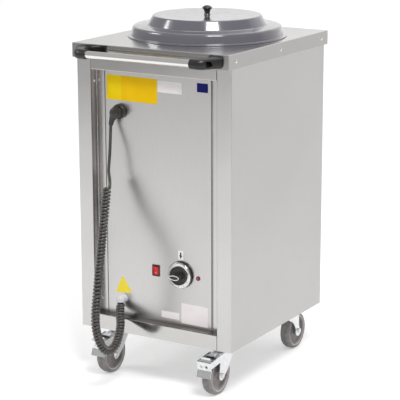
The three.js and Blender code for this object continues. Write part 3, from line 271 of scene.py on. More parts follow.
ring_plastic = moulded("ring_plastic", (0.56, 0.51, 0.53), 0.42, grain=500, depth=0.2)
TYRE_GREY = (0.30, 0.28, 0.28)
tyre_rubber = mottled(moulded("tyre_rubber", TYRE_GREY, 0.6, grain=350, depth=0.5), TYRE_GREY)
# Painted light: a grey that stands in for the lit inside seen through the panel's side gaps.
gap_painted_grey = moulded("gap_painted_grey", (0.46, 0.40, 0.39), 0.5, grain=300, depth=0.2)
ink = moulded("ink", (0.015, 0.015, 0.015), 0.5)
pale_ink = moulded("pale_ink", (0.85, 0.83, 0.8), 0.5)
grey_ink = moulded("grey_ink", (0.11, 0.11, 0.11), 0.5)
yellow_print = printed("yellow_print", (0.98, 0.70, 0.004), (0.95, 0.67, 0.004))
amber_print = printed("amber_print", (0.97, 0.60, 0.002), (0.93, 0.57, 0.002))
pale_yellow_print = printed("pale_yellow_print", (0.98, 0.80, 0.07), (0.95, 0.77, 0.06))
white_print = printed("white_print", (0.95, 0.90, 0.91), (0.89, 0.84, 0.86))
bright_print = printed("bright_print", (0.95, 0.95, 0.95), (0.91, 0.91, 0.91))
blue_print = printed("blue_print", (0.010, 0.012, 0.17), (0.008, 0.009, 0.14))

# ------------------------ pieces


def mesh_data(name, mesh):
    """Mesh data made from a bmesh, which is used up."""
    data = bpy.data.meshes.new(name)
    mesh.to_mesh(data)
    mesh.free()
    return data


def make_piece(name, mesh, made_of, nodes=(), body="cart", sharp=32):
    """Turns a bmesh in millimetres into a piece that rides on a body in place of the nodes."""
    bmesh.ops.remove_doubles(mesh, verts=mesh.verts, dist=0.001)
    bmesh.ops.recalc_face_normals(mesh, faces=mesh.faces)
    mesh.transform(Matrix.Scale(MM, 4))
    data = mesh_data(name, mesh)
    data.shade_smooth()
    data.set_sharp_from_angle(angle=math.radians(sharp))
    data.materials.append(made_of)
    piece = in_scene(name, data)
    even = piece.modifiers.new("even_normals", "WEIGHTED_NORMAL")
    even.keep_sharp = True
    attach(piece, body)
    if nodes:
        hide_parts(*nodes)
    return piece


def repaint(piece, made_of, where):
    """Gives one more material to the faces for which where(face) holds."""
    piece.data.materials.append(made_of)
    for face in piece.data.polygons:
        if where(face):
            face.material_index = len(piece.data.materials) - 1


def joined(*meshes):
    """One bmesh that holds all the others, which are used up."""
    whole = bmesh.new()
    for mesh in meshes:
        data = mesh_data("part", mesh)
        whole.from_mesh(data)
        bpy.data.meshes.remove(data)
    return whole


def moved(mesh, *steps):
    """The mesh after each matrix in turn."""
    for step in steps:
        mesh.transform(step)
    return mesh


def shift(x=0.0, y=0.0, z=0.0):
    return Matrix.Translation((x, y, z))


def spin(degrees, axis):
    return Matrix.Rotation(math.radians(degrees), 4, axis)


def mirror(side):
    """Keeps a mesh made for the right at 1, and turns it into the left one at -1."""
    return Matrix.Diagonal((side, 1, 1, 1))


SIDES = (("right", 1), ("left", -1))

# These turn a piece made about +Z so that +Z becomes the axis named.
TO_X = spin(90, "Y")
TO_FRONT = spin(90, "X")


def rounded(points, radius, steps=3):
    """The corners of an open line of (a, b) points, each rounded by an arc."""
    radii = radius if isinstance(radius, (list, tuple)) else [radius] * (len(points) - 2)
    line = [Vector(points[0])]
    for i, r in enumerate(radii, start=1):
        before, corner, after = Vector(points[i - 1]), Vector(points[i]), Vector(points[i + 1])
        back, ahead = before - corner, after - corner
        angle = back.angle(ahead, math.pi)
        if r <= 0 or angle > math.pi - 0.02:
            line.append(corner)
            continue
        trim = r / math.tan(angle / 2)
        limit = 0.49 * min(back.length, ahead.length)
        if trim > limit:
            r, trim = r * limit / trim, limit
        start, end = corner + back.normalized() * trim, corner + ahead.normalized() * trim
        middle_way = (back.normalized() + ahead.normalized()).normalized()
        centre = corner + middle_way * (r / math.sin(angle / 2))
        sweep = math.pi - angle
        first = start - centre
        side = 1 if first.cross(end - centre) > 0 else -1
        for k in range(steps + 1):
            a = side * sweep * k / steps
            line.append(centre + Vector((first.x * math.cos(a) - first.y * math.sin(a),
                                         first.x * math.sin(a) + first.y * math.cos(a))))
    line.append(Vector(points[-1]))
    return line


def turned(profile, sides=96, closed=False):
    """A line of (radius, height) points turned about +Z."""
    mesh = bmesh.new()
    rings = []
    for r, z in profile:
        if r < 1e-6:
            rings.append([mesh.verts.new((0, 0, z))])
        else:
            angles = [TURN * i / sides for i in range(sides)]
            rings.append([mesh.verts.new((r * math.cos(a), r * math.sin(a), z)) for a in angles])
    if closed:
        rings.append(rings[0])
    for low, high in zip(rings, rings[1:]):
        for i in range(sides):
            j = (i + 1) % sides
            face = [low[i % len(low)], low[j % len(low)], high[j % len(high)], high[i % len(high)]]
            face = list(dict.fromkeys(face))
            if len(face) > 2:
                mesh.faces.new(face)
    return mesh


def pulled(outline, low, high, axis="Z"):
    """A closed outline, drawn in the other two axes in X, Y, Z order, pulled along an axis."""
    place = {"X": lambda p, d: (d, p[0], p[1]), "Y": lambda p, d: (p[0], d, p[1]),
             "Z": lambda p, d: (p[0], p[1], d)}[axis]
    mesh = bmesh.new()
    ends = [[mesh.verts.new(place(p, d)) for p in outline] for d in (low, high)]
    count = len(outline)
    for i in range(count):
        j = (i + 1) % count
        mesh.faces.new([ends[0][i], ends[0][j], ends[1][j], ends[1][i]])
    mesh.faces.new(ends[0][::-1])
    mesh.faces.new(ends[1])
    return mesh


def hexagon(radius, low, high, axis="Z"):
    outline = [(radius * math.cos(TURN * k / 6), radius * math.sin(TURN * k / 6)) for k in range(6)]
    return pulled(outline, low, high, axis)


def box(low, high, edge=0.0, steps=2):
    mesh = bmesh.new()
    bmesh.ops.create_cube(mesh, size=1)
    low, high = Vector(low), Vector(high)
    mesh.transform(Matrix.Translation((low + high) / 2) @ Matrix.Diagonal((*(high - low), 1)))
    return eased(mesh, edge, steps)


def eased(mesh, width, steps=2, over=25):
    """Rounds every edge sharper than the angle given, in degrees."""
    if width <= 0:
        return mesh
    bmesh.ops.remove_doubles(mesh, verts=mesh.verts, dist=0.001)
    bmesh.ops.dissolve_limit(mesh, angle_limit=math.radians(0.5), verts=mesh.verts,
                             edges=mesh.edges)
    sharp = [e for e in mesh.edges if e.is_manifold and e.calc_face_angle(0) > math.radians(over)]
    bmesh.ops.bevel(mesh, geom=sharp, offset=width, segments=steps, profile=0.5, affect="EDGES",
                    clamp_overlap=True)
    return mesh


def from_node(node):
    """A copy of a solid, in millimetres."""
    mesh = bmesh.new()
    mesh.from_mesh(frame["nodes"][node].data)
    mesh.transform(Matrix.Scale(1 / MM, 4))
    bmesh.ops.remove_doubles(mesh, verts=mesh.verts, dist=0.01)
    return mesh


BODIES = frame["record"]["behaviour"]["bodies"]


def body_of(node):
    return next(body for body, members in BODIES.items() if node in members)


def dress(node, made_of, edge=0.4, over=40, steps=2, sharp=32):
    """A solid's own shape with its edges eased, shown in its place."""
    return make_piece(f"{node}_dressed", eased(from_node(node), edge, steps, over), made_of,
                      [node], body_of(node), sharp)


def folded(path, radius=FOLD, thickness=SHEET, steps=4):
    """Closed outline of a folded sheet. The path is its outer face, with the metal on the left."""
    points = [Vector(p) for p in path]
    heading = [(b - a).normalized() for a, b in zip(points, points[1:])]
    left = [Vector((-h.y, h.x)) for h in heading]
    inner = []
    for i, p in enumerate(points):
        mitre = left[max(i - 1, 0)] + left[min(i, len(left) - 1)]
        inner.append(p + mitre * (2 * thickness / mitre.length_squared))
    turns_left = [a.cross(b) > 0 for a, b in zip(heading, heading[1:])]
    outer_radii = [radius + thickness if t else radius for t in turns_left]
    inner_radii = [radius if t else radius + thickness for t in turns_left]
    return rounded(points, outer_radii, steps) + rounded(inner, inner_radii, steps)[::-1]


def rounded_box(width, height, radius, steps=4):
    """Closed outline of a rectangle with round corners about the origin."""
    points = []
    for sx, sy, start in ((1, 1, 0), (-1, 1, 90), (-1, -1, 180), (1, -1, 270)):
        for k in range(steps + 1):
            a = math.radians(start + 90 * k / steps)
            points.append(Vector((sx * (width / 2 - radius) + radius * math.cos(a),
                                  sy * (height / 2 - radius) + radius * math.sin(a))))
    return points


def lofted(rings, capped=True):
    """A skin over rings of points that all have the same count, closed by flat ends."""
    mesh = bmesh.new()
    made = [[mesh.verts.new(p) for p in ring] for ring in rings]
    count = len(rings[0])
    for low, high in zip(made, made[1:]):
        for i in range(count):
            j = (i + 1) % count
            mesh.faces.new([low[i], low[j], high[j], high[i]])
    if capped:
        mesh.faces.new(made[0][::-1])
        mesh.faces.new(made[-1])
    return mesh


def carved(piece, *tools):
    """Cuts the tools, bmeshes in millimetres, out of a finished piece."""
    for tool in tools:
        bmesh.ops.recalc_face_normals(tool, faces=tool.faces)
        tool.transform(Matrix.Scale(MM, 4))
        data = mesh_data("tool", tool)
        cutter = in_scene("tool", data)
        step = piece.modifiers.new("cut", "BOOLEAN")
        step.object = cutter
        step.solver = "EXACT"
        while piece.modifiers[0] != step:
            piece.modifiers.move(len(piece.modifiers) - 1, 0)
        graph = bpy.context.evaluated_depsgraph_get()
        even = piece.modifiers["even_normals"]
        even.show_viewport = False
        result = bpy.data.meshes.new_from_object(piece.evaluated_get(graph))
        even.show_viewport = True
        piece.modifiers.remove(step)
        piece.data = result
        bpy.data.objects.remove(cutter)
        bpy.data.meshes.remove(data)
    piece.data.shade_smooth()
    piece.data.set_sharp_from_angle(angle=math.radians(32))
    return piece


def button_head(radius, height):
    """A domed screw or rivet head standing on z = 0."""
    return turned([(0, height), (radius * 0.45, height * 0.9), (radius * 0.8, height * 0.55),
                   (radius, height * 0.1), (radius, -0.5), (0, -0.5)], 32)


# ------------------------ mains cord

CORD_DIAMETER = 7.8
COIL_OUTER = 23.0
CORD_LENGTH = 3500.0  # of curly stretch and lead, before the helix narrows at its start
COIL_START = 0.35  # turns over which the helix widens at the gland
TURN_SAMPLES = 22
LEAD_SWING = 55.0  # how far along the lead it comes back to its own line from the last turn

# The same points as the cord's solids follow, before the cart is centred on the origin.
COIL_ROUTE = [
    (-109, -235.5, 203.2), (-109, -235.5, 196.5), (-105, -244, 186), (-94, -260, 172),
    (-83.9, -274, 160), (-72.8, -299, 140), (-66.5, -325, 122), (-68.3, -350, 114),
    (-71.5, -371, 127), (-74.3, -386, 154), (-75.8, -395, 186), (-76, -396, 218.7),
    (-72.6, -391, 282.7), (-84, -360, 349), (-103.4, -316, 423.8), (-117.4, -276, 514.2),
]
LEAD_ROUTE = [
    (-117.45, -275.8, 514.6), (-119.5, -268, 532), (-118.5, -267.5, 553), (-118, -264, 575),
    (-119.5, -258, 600), (-123.5, -249, 630), (-127.5, -241, 655), (-128.6, -238, 667.7),
]


def smooth_path(points, step):
    """Points about a step apart along a centripetal curve through the given ones."""
    knots = [Vector((x, y + BODY_MIDDLE, z)) for x, y, z in points]
    knots = [2 * knots[0] - knots[1], *knots, 2 * knots[-1] - knots[-2]]
    line = []
    for a, b, c, d in zip(knots, knots[1:], knots[2:], knots[3:]):
        t = [0.0]
        for p, q in ((a, b), (b, c), (c, d)):
            t.append(t[-1] + math.sqrt((q - p).length))
        count = max(2, round((c - b).length / step))
        for k in range(count):
            s = t[1] + (t[2] - t[1]) * k / count
            ab = a.lerp(b, (s - t[0]) / (t[1] - t[0]))
            bc = b.lerp(c, (s - t[1]) / (t[2] - t[1]))
            cd = c.lerp(d, (s - t[2]) / (t[3] - t[2]))
            abc = ab.lerp(bc, (s - t[0]) / (t[2] - t[0]))
            bcd = bc.lerp(cd, (s - t[1]) / (t[3] - t[1]))
            line.append(abc.lerp(bcd, (s - t[1]) / (t[2] - t[1])))
    return line + [knots[-2]]


def length_of(line):
    return sum((b - a).length for a, b in zip(line, line[1:]))


def coil_turns(lead_length):
    """Turns that put the rest of the cord's length into the curly stretch."""
    straight = length_of(smooth_path(COIL_ROUTE, 2))
    circle = math.pi * (COIL_OUTER - CORD_DIAMETER)
    return math.sqrt((CORD_LENGTH - lead_length) ** 2 - straight ** 2) / circle


def curly_line(turns):
    """The helix along the coil's route, ending on its right, and the offset at its end."""
    spine = smooth_path(COIL_ROUTE, 0.5)
    lengths = [0.0]
    for a, b in zip(spine, spine[1:]):
        lengths.append(lengths[-1] + (b - a).length)
    total = lengths[-1]
    radius = (COIL_OUTER - CORD_DIAMETER) / 2
    count = round(turns * TURN_SAMPLES)
    normals = []
    normal = Vector((1, 0, 0))
    for i, p in enumerate(spine):
        ahead = (spine[min(i + 1, len(spine) - 1)] - spine[max(i - 1, 0)]).normalized()
        normal = (normal - ahead * normal.dot(ahead)).normalized()
        normals.append((normal.copy(), ahead.cross(normal)))
    last = math.atan2(normals[-1][1].x, normals[-1][0].x)
    line, place = [], 0
    for k in range(count + 1):
        share = k / count
        while place < len(spine) - 2 and lengths[place + 1] < share * total:
            place += 1
        reach = (share * total - lengths[place]) / (lengths[place + 1] - lengths[place])
        centre = spine[place].lerp(spine[place + 1], min(1.0, reach))
        a = TURN * turns * (share - 1) + last
        grown = min(1.0, share * turns / COIL_START)
        out = normals[place][0] * math.cos(a) + normals[place][1] * math.sin(a)
        line.append(centre + out * radius * grown)
    return line, line[-1] - spine[-1]


def cord():
    """The whole cord as one tube, and its centre line."""
    lead = smooth_path(LEAD_ROUTE, 3)
    turns = coil_turns(length_of(lead))
    coil, offset = curly_line(turns)
    walked, line = 0.0, list(coil)
    for before, point in zip(lead, lead[1:]):
        walked += (point - before).length
        share = min(1.0, walked / LEAD_SWING)
        line.append(point + offset * (1 - share * share * (3 - 2 * share)))
    data = bpy.data.curves.new("mains_cord", "CURVE")
    data.dimensions = "3D"
    data.bevel_depth = CORD_DIAMETER / 2 * MM
    data.bevel_resolution = 3
    data.use_fill_caps = True
    spline = data.splines.new("POLY")
    spline.points.add(len(line) - 1)
    for point, place in zip(spline.points, line):
        point.co = (*(place * MM), 1)
    spline.use_smooth = True
    data.materials.append(cord_rubber)
    piece = in_scene("mains_cord", data)
    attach(piece, "cart")
    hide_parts("cord_coil", "cord_lead")
    return piece, line


# ------------------------ cabinet

POST_WIDTH = 42.0
REAR_FLANGE = 30.0
REAR_LIP = 15.0
REAR_STEP = 3.6  # how deep the back panel's seat lies in the flange
POST_INNER = HALF_WIDTH - POST_WIDTH
RAIL_LIP = 12.0  # folded edge of header and sill behind the panel
SCREW_INSET = 31.0  # of the wall's screws, from sill and header
SCREW_DEPTH = 0.62  # share of the recess's depth


def recess_cut(side, reach, low, high):
    """Cuts the recess's wall and lip on one side, from the cart's middle out to reach."""
    left, right = sorted((0, side * reach))
    return box((left, FRONT + SHEET, low), (right, PANEL_FACE + SHEET + 1, high))


# Faces that take painted shade: the recess wall and part of the fold at the post's inner edge.
def in_recess(face):
    return (abs(face.center.x) / MM < POST_INNER + FOLD + 0.5 and
            face.center.y / MM < PANEL_FACE - 1)


def side_panels():
    """Each side is one folded sheet: lip, recess wall, post, side, rear flange and its lip."""
    rear, seat = HALF_WIDTH - REAR_FLANGE, BACK - REAR_STEP
    path = [(LIP_EDGE, PANEL_FACE), (POST_INNER, PANEL_FACE), (POST_INNER, FRONT),
            (HALF_WIDTH, FRONT), (HALF_WIDTH, BACK), (rear, BACK), (rear, seat),
            (rear - REAR_LIP, seat)]
    for name, side in SIDES:
        sheet = moved(pulled(folded(path), BODY_BOTTOM, BODY_TOP), mirror(side))
        piece = make_piece(f"{name}_side", sheet, side_steel, [f"{name}_side_panel"])
        # The outer side keeps the darker steel, painted shade; the rest of the sheet takes the post
        # steel.
        repaint(piece, post_steel, lambda face: abs(face.center.x) / MM < HALF_WIDTH - 1.5)
        # Painted shade in the recess, and a painted dark reflection line along the post's fold.
        repaint(piece, painted_shade_steel, in_recess)
        # Beside the header the left cut ends on the wall's own face.
        beside_header = POST_INNER - GAP / 2 if side > 0 else POST_INNER
        carved(piece,
               recess_cut(side, POST_INNER + 3 * SHEET + 1, BODY_BOTTOM - 1, SILL_HIGH.z + GAP),
               recess_cut(side, beside_header, HEADER_LOW.z - GAP, BODY_TOP + 1))
        y = FRONT + SCREW_DEPTH * (PANEL_FACE - FRONT)
        for number, z in enumerate((SILL_HIGH.z + SCREW_INSET, HEADER_LOW.z - SCREW_INSET)):
            head = moved(button_head(3.6, 1.7), spin(-90 * side, "Y"),
                         shift(side * POST_INNER, y, z))
            make_piece(f"{name}_post_screw_{number + 1}", head, screw_steel)


def rails():
    depth = HEADER_HIGH.y
    header = folded([(FRONT, HEADER_HIGH.z), (FRONT, HEADER_LOW.z), (depth, HEADER_LOW.z),
                     (depth, HEADER_LOW.z + RAIL_LIP)])
    make_piece("header", pulled(header, HEADER_LOW.x, HEADER_HIGH.x, "X"), rail_steel,
               ["front_header"])
    outline = folded([(depth, SILL_HIGH.z - RAIL_LIP), (depth, SILL_HIGH.z), (FRONT, SILL_HIGH.z),
                      (FRONT, SILL_LOW.z)])
    sill = make_piece("sill", pulled(outline, SILL_LOW.x, SILL_HIGH.x, "X"), rail_steel,
                      ["front_sill"])
    # Painted shadow on the faces of the sill that look up.
    repaint(sill, ledge_painted_shadow, lambda face: face.normal.z > 0.7)


RIVET_INSET = 36.0
APRON_FOLD = 1.6
WELL_RADIUS = 160.0
TOP_HOLE_RADIUS = WELL_RADIUS + 1.6


def top():
    low, high = TOP_LOW, TOP_HIGH
    width = HALF_WIDTH + GAP + SHEET
    inner = width - SHEET
    shell = box((-width, low.y, low.z), (width, high.y, high.z), APRON_FOLD, 4)
    piece = make_piece("top", shell, top_steel, ["top_plate"])
    inside = box((-inner, low.y + SHEET, low.z + SHEET), (inner, high.y - SHEET, high.z - SHEET))
    mouth = box((-inner, FRONT - 1, low.z - 3), (inner, BACK + 1, low.z + 3))
    hole = turned([(0, -5), (TOP_HOLE_RADIUS, -5), (TOP_HOLE_RADIUS, 5), (0, 5)], 96)
    carved(piece, inside, mouth, moved(hole, shift(WELL.x, WELL.y, high.z)))
    # Faces that do not look up, the aprons among them, take painted shade.
    repaint(piece, apron_painted_shade, lambda face: face.normal.z < 0.5)
    z = (low.z + high.z) / 2
    for name, side in SIDES:
        for number, y in enumerate((low.y + RIVET_INSET, BODY_MIDDLE, high.y - RIVET_INSET)):
            head = moved(button_head(4.4, 2.0), spin(90 * side, "Y"), shift(side * width, y, z))
            make_piece(f"{name}_rivet_{number + 1}", head, screw_steel)


# ------------------------ push bar

BAR_LOW, BAR_HIGH = corners("push_bar")
BAR_RADIUS = (BAR_HIGH.z - BAR_LOW.z) / 2
BAR_Y = (BAR_LOW.y + BAR_HIGH.y) / 2
BAR_Z = (BAR_LOW.z + BAR_HIGH.z) / 2
BRACKET_LOW, BRACKET_HIGH = corners("bar_bracket_right")
FOOT_WIDTH = 38.0
FOOT_HEIGHT = BRACKET_HIGH.z - BRACKET_LOW.z
BRACKET_X = BRACKET_HIGH.x - FOOT_WIDTH / 2
SLEEVE_RADIUS = 12.2
SLEEVE_LENGTH = 42.7
ELBOW_RADIUS = 17.0
LEG_SLANT = 1.2  # heading of the leg, in radians from the bar's own line
BRACKET_SCREW_DEPTH = 12.0  # of its seat, in front of the foot
BEND_STEPS = 10
FLARE_STEPS = 4


def bracket_rings(sides=40):
    """Rings of the moulded elbow: round sleeve, bend, slanted leg that widens to the foot."""
    reach = TOP_LOW.y - GAP - BAR_Y
    rings = []

    def station(x, y, heading, half, height, power):
        """A ring of 2 * half by 2 * height; a power under 1 squares it off."""
        across = Vector((math.sin(heading), -math.cos(heading), 0))
        ring = []
        for i in range(sides):
            a = TURN * i / sides
            u, v = (math.copysign(abs(w) ** power, w) for w in (math.cos(a), math.sin(a)))
            ring.append(Vector((x, y, 0)) + across * half * u + Vector((0, 0, height * v)))
        rings.append(ring)

    straight = 0.3 * SLEEVE_LENGTH
    for along, inset in ((0, 1.5), (0.5, 0.5), (1.6, 0), (straight, 0)):
        half = SLEEVE_RADIUS - inset
        station(BRACKET_LOW.x + along, 0, 0, half, half, 1)
    start = BRACKET_LOW.x + straight
    for k in range(1, BEND_STEPS + 1):
        share = k / BEND_STEPS
        a = share * LEG_SLANT
        station(start + ELBOW_RADIUS * math.sin(a), ELBOW_RADIUS * (1 - math.cos(a)), a,
                SLEEVE_RADIUS + share, SLEEVE_RADIUS + share, 1 - 0.35 * share)
    bend_x = start + ELBOW_RADIUS * math.sin(LEG_SLANT)
    bend_y = ELBOW_RADIUS * (1 - math.cos(LEG_SLANT))
    wide, tall = FOOT_WIDTH / 2, FOOT_HEIGHT / 2
    for k in range(1, FLARE_STEPS + 1):
        share = k / FLARE_STEPS
        flare = share ** 1.6
        station(bend_x + (BRACKET_X - 1.5 - bend_x) * share, bend_y + (reach - 9 - bend_y) * share,
                LEG_SLANT + 0.2 * flare, SLEEVE_RADIUS + 1 + (wide - 3 - SLEEVE_RADIUS) * flare,
                SLEEVE_RADIUS + 1 + (tall - 1.6 - SLEEVE_RADIUS) * flare, 0.65 - 0.05 * share)
    for before, inset in ((2, 0), (0.8, 0), (0, 0.8)):
        station(BRACKET_X, reach - before, math.pi / 2, wide - inset, tall - inset, 0.55)
    return rings, reach


def push_bar():
    half = [(0, BAR_LOW.x), (BAR_RADIUS, BAR_LOW.x), (BAR_RADIUS, BAR_HIGH.x), (0, BAR_HIGH.x)]
    rod = turned(rounded(half, 0.8), 64)
    make_piece("push_bar_tube", moved(rod, TO_X, shift(0, BAR_Y, BAR_Z)), bar_steel,
               ["push_bar"])
    rings, reach = bracket_rings()
    for name, side in SIDES:
        elbow = moved(lofted(rings), shift(0, BAR_Y, BAR_Z), mirror(side))
        piece = make_piece(f"{name}_bracket", elbow, bracket_plastic,
                           [f"bar_bracket_{name}"], sharp=40)
        seat = (TO_FRONT, shift(side * BRACKET_X, BAR_Y + reach - BRACKET_SCREW_DEPTH, BAR_Z))
        well = turned(rounded([(0, 30), (7.6, 30), (6.6, 17), (6.2, 0), (0, 0)], 0.6), 40)
        carved(piece, moved(well, *seat))
        head = turned(rounded([(0, 2.6), (4.4, 2.6), (5.2, 0), (0, 0)], 0.7), 40)
        screw = make_piece(f"{name}_bracket_screw", moved(head, *seat), screw_steel,
                           [f"bar_bracket_screw_{name}"])
        for turn in (45, -45):
            slit = box((-3.4, -0.55, 1.4), (3.4, 0.55, 5))
            carved(screw, moved(slit, spin(turn, "Z"), *seat))


# ------------------------ cover and well

RIM_RADIUS = (COVER_HIGH.x - COVER_LOW.x) / 2
COVER_BASE = COVER_LOW.z


def cover():
    """The domed lid and its knob, as (radius, height over the top plate) from rim to middle."""
    outer = [(RIM_RADIUS, 0.2), (RIM_RADIUS - 0.2, 2.2), (196.5, 2.6), (194.2, 16), (191.5, 27),
             (154, 29.4), (139.5, 53.8), (120, 53.6), (60, 52.6), (0, 52.4)]
    inner = [(0, 50), (60, 50.2), (120, 51.2), (137.6, 51.2), (151.6, 27), (189.6, 24.6),
             (191.8, 16), (194, 0.6), (RIM_RADIUS - 0.6, 0.0)]
    shape = (rounded(outer, [1.2, 2.2, 30, 7, 5, 5, 60, 60]) +
             rounded(inner, [60, 60, 4, 6, 6, 20, 0.6]))
    place = shift(WELL.x, WELL.y, COVER_BASE)
    make_piece("cover", moved(turned(shape, 128), place), cover_plastic, ["lid"], "cover", sharp=50)
    knob = rounded([(0, 52.2), (9, 52.2), (7.6, 54.6), (6.6, 57), (7.6, 61), (8.5, 64.5),
                    (10.5, 67), (13.6, 69.5), (12.8, 71.4), (10.6, 73.6), (7.6, 75.4), (4, 76.7),
                    (0, 77.1)], [0.6, 2, 3, 3, 3, 2, 1.2, 3, 4, 5, 6])
    make_piece("cover_knob", moved(turned(knob, 64), place), knob_plastic, ["lid_knob"], "cover",
               sharp=50)


def well():
    low, high = corners("well_collar")
    flange = (high.x - low.x) / 2
    throat = WELL_RADIUS - GAP - SHEET
    collar = turned(folded([(flange, high.z), (throat, high.z), (throat, low.z)]), 128, closed=True)
    make_piece("collar", moved(collar, shift(WELL.x, WELL.y, 0)), spun_steel, ["well_collar"])
    for node in ("well_tube", "well_floor"):
        dress(node, inner_steel, edge=0, sharp=30)
    dress("plate_carrier", spun_steel, edge=0, sharp=30)
    for number in (1, 2, 3):
        dress(f"carrier_guide_{number}", nylon, edge=0.5)
    dress("heating_element", heater_steel, edge=0, sharp=70)


# ------------------------ control panel

DIAL_X = 64.0
DIAL_Z = 301.0
ARROW_Z = DIAL_Z + 50.3
GLAND_X = -109.0

PLATE = 0.35  # thickness of a printed plate
PLATE_STEP = 0.36  # from one layer of plates to the next


def label(name, made_of, at, size, tilt=0.0, corner=1.0, layer=1):
    """A thin flat plate on the panel, given by its middle (x, z) and its width and height."""
    plate = pulled(rounded_box(*size, corner), 0, PLATE, "Y")
    moved(plate, spin(tilt, "Y"), shift(at[0], PANEL_FACE - layer * PLATE_STEP, at[1]))
    return make_piece(name, plate, made_of)


def panel_gap_strips():
    """Grey strips behind the open joints at the panel's left and right edge: painted light for the
    lit inside.
    """
    front, back = PANEL_FACE + 3.0, PANEL_FACE + 4.2
    for name, low, high in (("left", -LIP_EDGE, PANEL_LOW.x), ("right", PANEL_HIGH.x, LIP_EDGE)):
        strip = box((low + GAP, front, PANEL_LOW.z), (high - GAP, back, PANEL_HIGH.z))
        make_piece(f"panel_gap_light_{name}", strip, gap_painted_grey)


def labels():
    label("yellow_plate", yellow_print, (-77.4, 762), (150, 63), tilt=0.4)
    label("amber_field", amber_print, (-55.5, 762), (104, 61.5), tilt=0.4, layer=2)
    label("white_plate", white_print, (34.4, 775.5), (70.5, 29), tilt=0.3)
    label("blue_plate", blue_print, (128.6, 782.3), (31, 22.5), corner=1.5)
    label("small_white_plate", white_print, (31.6, 189), (53, 17.5), tilt=-0.3)
    label("large_white_plate", white_print, (104, 200), (78, 53), tilt=0.3)
    label("arrow_plate", bright_print, (DIAL_X, ARROW_Z), (14.5, 24), corner=2)
    arrow = [(-2.1, 7.8), (2.1, 7.8), (2.1, 0), (4.2, 0), (0, -8.4), (-4.2, 0), (-2.1, 0)]
    shape = pulled(arrow, 0, 0.2, "Y")
    make_piece("arrow", moved(shape, shift(DIAL_X, PANEL_FACE - PLATE_STEP - 0.22, ARROW_Z)), ink)
    half, rise = 25.5, 46.0
    outline = rounded([(0, 0), (half, 0), (0, rise), (-half, 0), (0, 0)], 3.5, 6)
    plate = pulled(outline[:-1], 0, PLATE, "Y")
    moved(plate, spin(-4, "Y"), shift(GLAND_X - 0.3, PANEL_FACE - PLATE_STEP, 227.3))
    make_piece("triangle_plate", plate, pale_yellow_print)


def on_dial(mesh, *steps):
    """Places a mesh made about +Z, with +Z to the front, on the dial's axis at the panel."""
    return moved(mesh, *steps, TO_FRONT, shift(DIAL_X, PANEL_FACE, DIAL_Z))


RIB_RUNOUT = 1.2  # how far inside the full radius the ribs fade out
RIB_SIDES = 4  # sides that draw one rib


def knurled(profile, ribs, depth):
    """A turned body whose sides at full radius carry fine ribs."""
    sides = ribs * RIB_SIDES
    full = max(point[0] for point in profile)
    rings = []
    for r, z in profile:
        share = max(0.0, (r - full + RIB_RUNOUT) / RIB_RUNOUT)
        ring = []
        for i in range(sides):
            a = TURN * i / sides
            out = r - share * depth * (0.5 - 0.5 * math.cos(TURN * i / RIB_SIDES))
            ring.append((out * math.cos(a), out * math.sin(a), z))
        rings.append(ring)
    return lofted(rings)


RING_FACE = 11.0  # height of the silver ring's face over the panel


def dial():
    """Skirt, silver ring, ribbed grip and pointer, as (radius, height over the panel)."""
    skirt = rounded([(0, 0.9), (34, 0.9), (35, 2.2), (34.6, 8), (23.6, 8), (0, 8)],
                    [0.5, 0.8, 1.2, 0.2], 4)
    make_piece("dial_skirt", on_dial(turned(skirt, 96)), dial_plastic, ["thermostat_knob"], "dial")
    band = rounded([(22.5, 8.3), (34.0, 8.3), (33.4, 9.8), (31.4, 10.9), (22.5, RING_FACE)],
                   [0.3, 0.8, 1.2], 4)
    band = on_dial(turned(band, 96, closed=True))
    make_piece("dial_ring", band, ring_steel, ["dial_band"], "dial")
    grip = [(20, 9), (24.4, 11.3), (24.4, 15.0), (23.9, 15.7), (23.2, 16.0), (22.2, 16.0),
            (21.4, 15.6), (20.8, 14.6), (10, 14.4)]
    make_piece("dial_grip", on_dial(knurled(grip, 48, 0.7)), dial_plastic, body="dial", sharp=50)
    pointer()
    numbers()


POINTER_NOSE = 18.8
POINTER_TAIL = 15.8
POINTER_HALF = 7.2
POINTER_TOP = 35.0


def drop_outline(inset, steps=16):
    """Teardrop with its nose towards -a, drawn in from the pointer's own outline."""
    half, nose = POINTER_HALF - inset, POINTER_NOSE - 1.7 * inset
    angles = [math.pi * (k / steps - 0.5) for k in range(steps + 1)]
    return [*(((POINTER_TAIL - inset) * math.cos(a), half * math.sin(a)) for a in angles),
            (-0.43 * nose, 0.78 * half), (-nose, 0.35), (-nose, -0.35),
            (-0.43 * nose, -0.78 * half)]


def pointer():
    """The grip's raised pointer, with a pale line round its flat top."""
    def skin(levels, capped=True):
        return on_dial(lofted([[(x, y, POINTER_TOP + rise) for x, y in drop_outline(inset)]
                               for inset, rise in levels], capped))

    body = skin([(-1.4, -21), (-0.9, -17), (0.0, -0.6), (0.4, 0)])
    make_piece("dial_pointer", body, dial_plastic, body="dial", sharp=50)
    line = skin([(0.5, 0.02), (0.5, 0.3), (2.5, 0.3), (2.5, 0.02)], capped=False)
    make_piece("pointer_line", line, pale_ink, body="dial")


NUMBER_RADIUS = 27.6
NUMBER_SIZE = 4.6
NUMBER_STEP = 30  # degrees from one number to the next
TICK_STEP = 10
TICKS = 28
TICK_LONG = 30.2  # inner radius of a tick at a number, and of one between numbers
TICK_SHORT = 31.0
TICK_OUTER = 31.6


